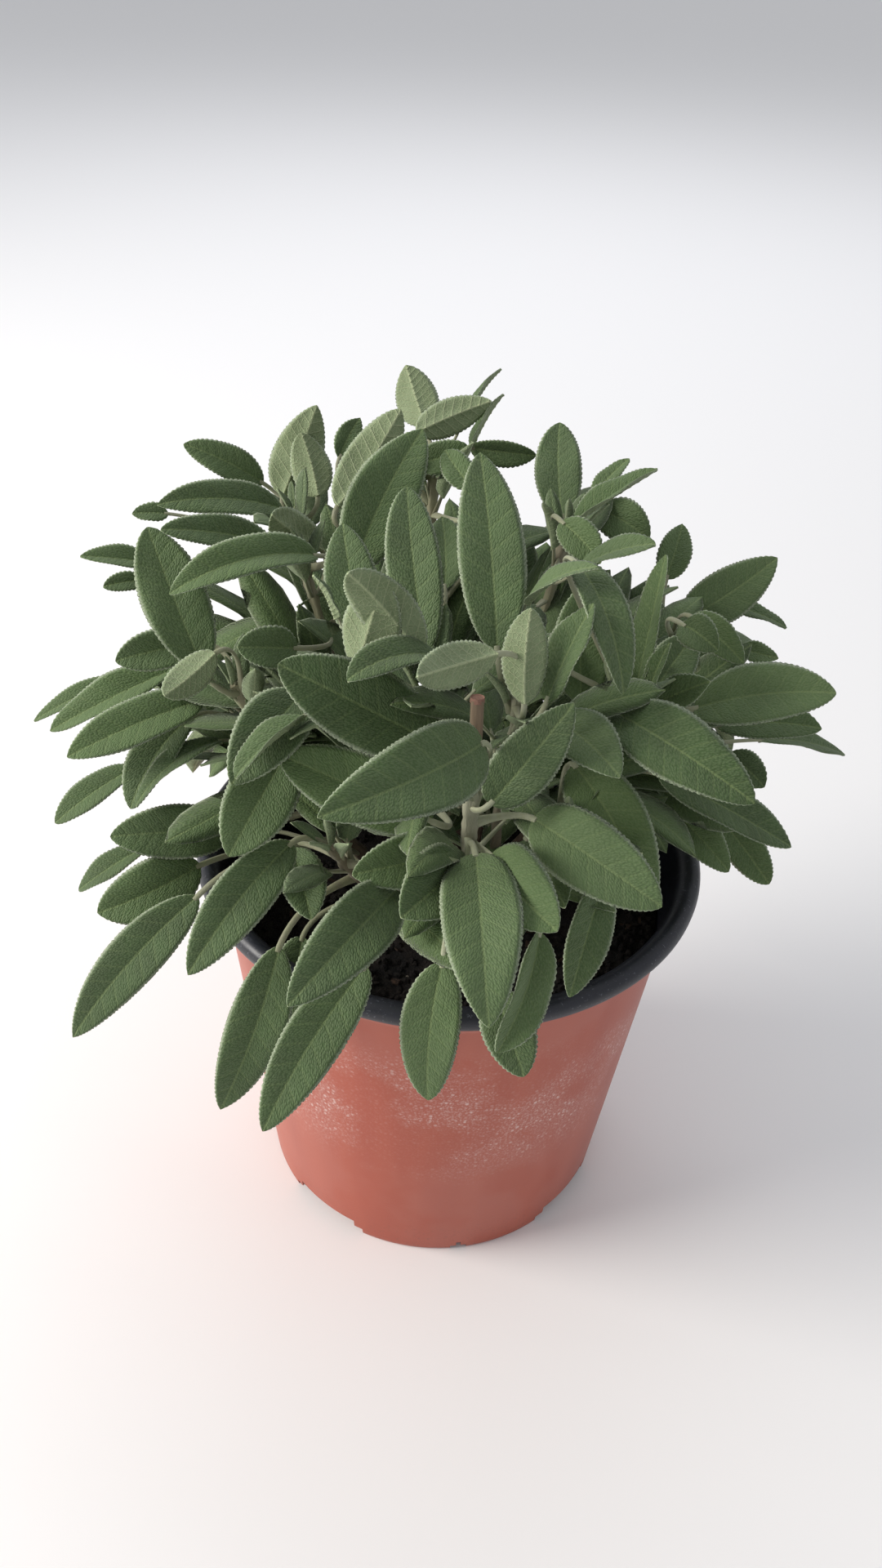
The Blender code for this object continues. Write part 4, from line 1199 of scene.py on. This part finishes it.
def moulded_skin():
    """Terracotta-coloured polypropylene, injection moulded: satin, with dried lime on it."""
    look, tree, shader = new_look("terracotta polypropylene", Roughness=0.45, IOR=1.49)
    place = add(tree, COORDINATES).outputs["Object"]
    height = add(tree, SPLIT, place)
    flow = add(tree, "ShaderNodeMapping", place, named={"Scale": (1, 1, 0.12)})
    flow = add(tree, NOISE, flow, None, 1 / (14 * MM), 2.0)
    cloud = add(tree, NOISE, place, None, 1 / (30 * MM), 3.0)
    colour = blend_colour(tree, flow.outputs[0], SKIN_DARK, SKIN_LIGHT)
    # Lime: round specks a millimetre or so across, in clouds over the belly
    dots = add(tree, VORONOI, place, None, 1 / (1.6 * MM))
    dots = chain(tree, dots.outputs["Color"], ("ShaderNodeSeparateColor",), (TIMES, 0.55),
                 (MINUS, dots), (EASED, 0.0, 0.3, 0.0, 0.9))
    fine = add(tree, NOISE, place, None, 1 / (0.8 * MM), 3.0, 0.7)
    specks = add(tree, EASED, fine, 0.45, 0.7, 0.0, 0.6)
    specks = add(tree, LARGER, specks, dots)
    patch = add(tree, EASED, cloud, 0.4, 0.6, 0.15, 1.0)
    rise = add(tree, EASED, height.outputs[2], 40 * MM, 75 * MM)
    fall = add(tree, EASED, height.outputs[2], 124 * MM, 95 * MM)
    film = add(tree, TIMES, patch, 0.04)
    lime = chain(tree, specks, (TIMES, patch), (TIMES, rise), (TIMES, fall),
                 (TIMES_PLUS, 0.5, film))
    colour = blend_colour(tree, lime.outputs[0], colour, LIME)
    # Soil dust that has run down from the rim and splashed up at the foot
    dirt = add(tree, RANGE, height.outputs[2], 22 * MM, 2 * MM, 0.0, 0.35)
    dirt = add(tree, TIMES, dirt, specks)
    colour = blend_colour(tree, dirt.outputs[0], colour, SOIL_STAIN)
    rough = add(tree, TIMES_PLUS, lime, 0.35, 0.4, use_clamp=True)
    finish_look(tree, shader, colour, fine.outputs[0], 0.03, rough)
    return look


def moulded_lining():
    """Black polypropylene: the rolled rim is rubbed smooth and carries a little dust."""
    look, tree, shader = new_look("black polypropylene", Roughness=0.35, IOR=1.49)
    place = add(tree, COORDINATES).outputs["Object"]
    dust = add(tree, NOISE, place, None, 1 / (1.1 * MM), 4.0, 0.7)
    dust = add(tree, RANGE, dust, 0.6, 0.72)
    cloud = add(tree, NOISE, place, None, 1 / (16 * MM), 3.0)
    share = add(tree, TIMES, dust, cloud.outputs[0])
    share = add(tree, TIMES, share, 0.9)
    colour = blend_colour(tree, cloud.outputs[0], RIM_DARK, RIM_GREY)
    colour = blend_colour(tree, share.outputs[0], colour, RIM_DUST)
    rough = add(tree, TIMES_PLUS, cloud.outputs[0], 0.25, 0.28)
    finish_look(tree, shader, colour, dust, 0.03, rough)
    return look


def plain_look(name, colour, roughness):
    """An even, painted finish, for the stage only."""
    return new_look(name, Roughness=roughness, Base_Color=linear(colour))[0]


# ---------------------------------------------------------------- stage, light, camera

def sheet_of(name, corners, look):
    """A flat sheet of the stage."""
    mesh = new_mesh(name, corners, faces=[(0, 1, 2, 3)])
    mesh.materials.append(look)
    in_scene(name, mesh)


def make_stage():
    """A plain pale table top that fills the view."""
    corners = [(FLOOR_HALF * x, FLOOR_HALF * y, 0) for x, y in ((-1, -1), (1, -1), (1, 1), (-1, 1))]
    sheet_of("floor", corners, plain_look("painted table top", FLOOR_TONE, 0.6))


def make_lamp(name, place, aim, size, power, tone):
    """A round soft lamp, aimed at a point."""
    data = bpy.data.lights.new(name, "AREA")
    data.shape, data.size, data.energy = "DISK", size, power
    data.color = linear(tone)[:3]
    lamp = in_scene(name, data)
    lamp.location = place
    lamp.rotation_euler = (Vector(aim) - Vector(place)).to_track_quat("-Z", "Y").to_euler()


def make_light():
    """Daylight from a window at the left, an even pale room and a lit ground behind."""
    world = bpy.data.worlds.new("room")
    world.use_nodes = True
    sky = world.node_tree.nodes["Background"]
    sky.inputs[0].default_value = linear(ROOM_TONE)
    sky.inputs[1].default_value = ROOM_STRENGTH
    bpy.context.scene.world = world
    make_lamp("window", (-1.55, -0.25, 0.95), (0, 0, 0.15), 1.0, WINDOW_POWER, WINDOW_TONE)
    make_lamp("background", (0.1, 1.5, 2.0), (0.2, 2.6, 0), 1.6, BACKGROUND_POWER, BACKGROUND_TONE)


def make_camera():
    """Close above the front, looking down at the plant and rolled a little."""
    data = bpy.data.cameras.new("camera")
    data.lens, data.sensor_width = CAMERA_LENS, 36
    camera = in_scene("camera", data)
    pitch, roll = radians(CAMERA_PITCH), radians(CAMERA_ROLL)
    look = Vector((0, cos(pitch), -sin(pitch)))
    right = Vector((1, 0, 0))
    up = right.cross(look)
    right, up = cos(roll) * right + sin(roll) * up, cos(roll) * up - sin(roll) * right
    camera.matrix_world = Matrix((
        *((right[i], up[i], -look[i], CAMERA_PLACE[i] * MM) for i in range(3)), (0, 0, 0, 1)))
    bpy.context.scene.camera = camera


# ---------------------------------------------------------------- all of it

def grow_leaves(name, shoot, rows, tree, rng, pale, young, **sizes):
    """One piece with these leaves of a shoot."""
    path = SHOOTS[shoot]
    cells = int(len(rows) ** 0.5 - 0.001) + 1
    carried = [leaf_sizes(path, leaf, rng) for leaf in rows]
    for i, leaf in enumerate(carried):
        small = leaf["chord"] < 25
        leaf.update(cell=float(i), pale=pale + rng.uniform(-0.15, 0.25),
                    young=rng.uniform(0.5, 1.0) if small and young else rng.uniform(0, 0.2))
    mesh = points_mesh(name, carried)
    return grown(name, mesh, tree, **{"Atlas Cells": float(cells)}, **sizes)


def make_leaves(tree, pieces):
    """For each shoot, a piece with its table's leaves and one with those of the rules."""
    rng = random.Random(SEED + 1)
    for shoot, (table, rule) in all_leaves().items():
        pale = STALK_PALENESS.get(shoot, 0.25)
        nodes = [f"leaf_{shoot}_{i + 1}" for i in range(LEAVES[shoot][0])]
        piece = grow_leaves("leaves_" + shoot, shoot, table, tree, rng, pale, False)
        pieces.append((piece, "sage_leaf", nodes))
        # There are hundreds of the rules' leaves, so each has only a few dozen faces
        if rule:
            piece = grow_leaves("inner_leaves_" + shoot, shoot, rule, tree, rng, pale, True,
                                **FEW_FACES)
            pieces.append((piece, "sage_leaf", []))


def cut_end(look):
    """The flat cut on top of the pruned shoot, its edge slightly raised."""
    end, along = point_at_height(SHOOTS[PRUNED], SHOOTS[PRUNED][-1][2])
    shape = bmesh.new()
    bmesh.ops.create_cone(shape, cap_ends=True, segments=24, radius1=PRUNED_RADIUS * MM,
                          radius2=PRUNED_RADIUS * 0.94 * MM, depth=1.4 * MM)
    top = [f for f in shape.faces if f.normal.z > 0.9]
    bmesh.ops.inset_region(shape, faces=top, thickness=0.35 * MM, depth=-0.3 * MM)
    turn = along.to_track_quat("Z", "Y").to_matrix()
    bmesh.ops.rotate(shape, verts=shape.verts, matrix=turn)
    bmesh.ops.translate(shape, verts=shape.verts, vec=end * MM)
    mesh = mesh_from("pruned_end", shape)
    mesh.materials.append(look)
    return in_scene("pruned_end", mesh)


def main():
    make_camera()
    make_light()
    make_stage()
    bpy.context.scene.view_settings.view_transform = "Standard"
    looks = {"skin": moulded_skin(), "lining": moulded_lining()}
    bark = stem_bark()
    pieces = []
    skin, lining = make_pot(looks)
    pieces.append((skin, "pot_terracotta", ["pot_shell"]))
    pieces.append((lining, "pot_black", ["pot_lining"]))
    compost = soil_tree(peat("peat compost", PEAT_DARK, PEAT_LIGHT, 0.95),
                        peat("bark splinters", BARK_DARK, BARK_LIGHT, 0.85),
                        peat("pale grit", GRIT_DARK, GRIT_LIGHT, 0.8))
    pieces.append((grown("potting_soil", soil_mesh(), compost), "soil", ["soil"]))
    stems = grown("shoots", stem_lines(), stem_tree(bark))
    pieces.append((stems, "sage_stem", ["stem_" + shoot for shoot in SHOOTS]))
    pieces.append((cut_end(cut_pith()), "sage_stem", []))
    root_look = peat("bare root", ROOT_DARK, ROOT_LIGHT, 0.7)
    pieces.append((grown("surface_root", root_line(), root_tree(root_look)), "sage_stem", []))
    make_leaves(leaf_tree(felted_leaf(), downy_stalk()), pieces)
    for piece, slot, nodes in pieces:
        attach(piece, "root")
        if nodes:
            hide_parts(*nodes)


main()
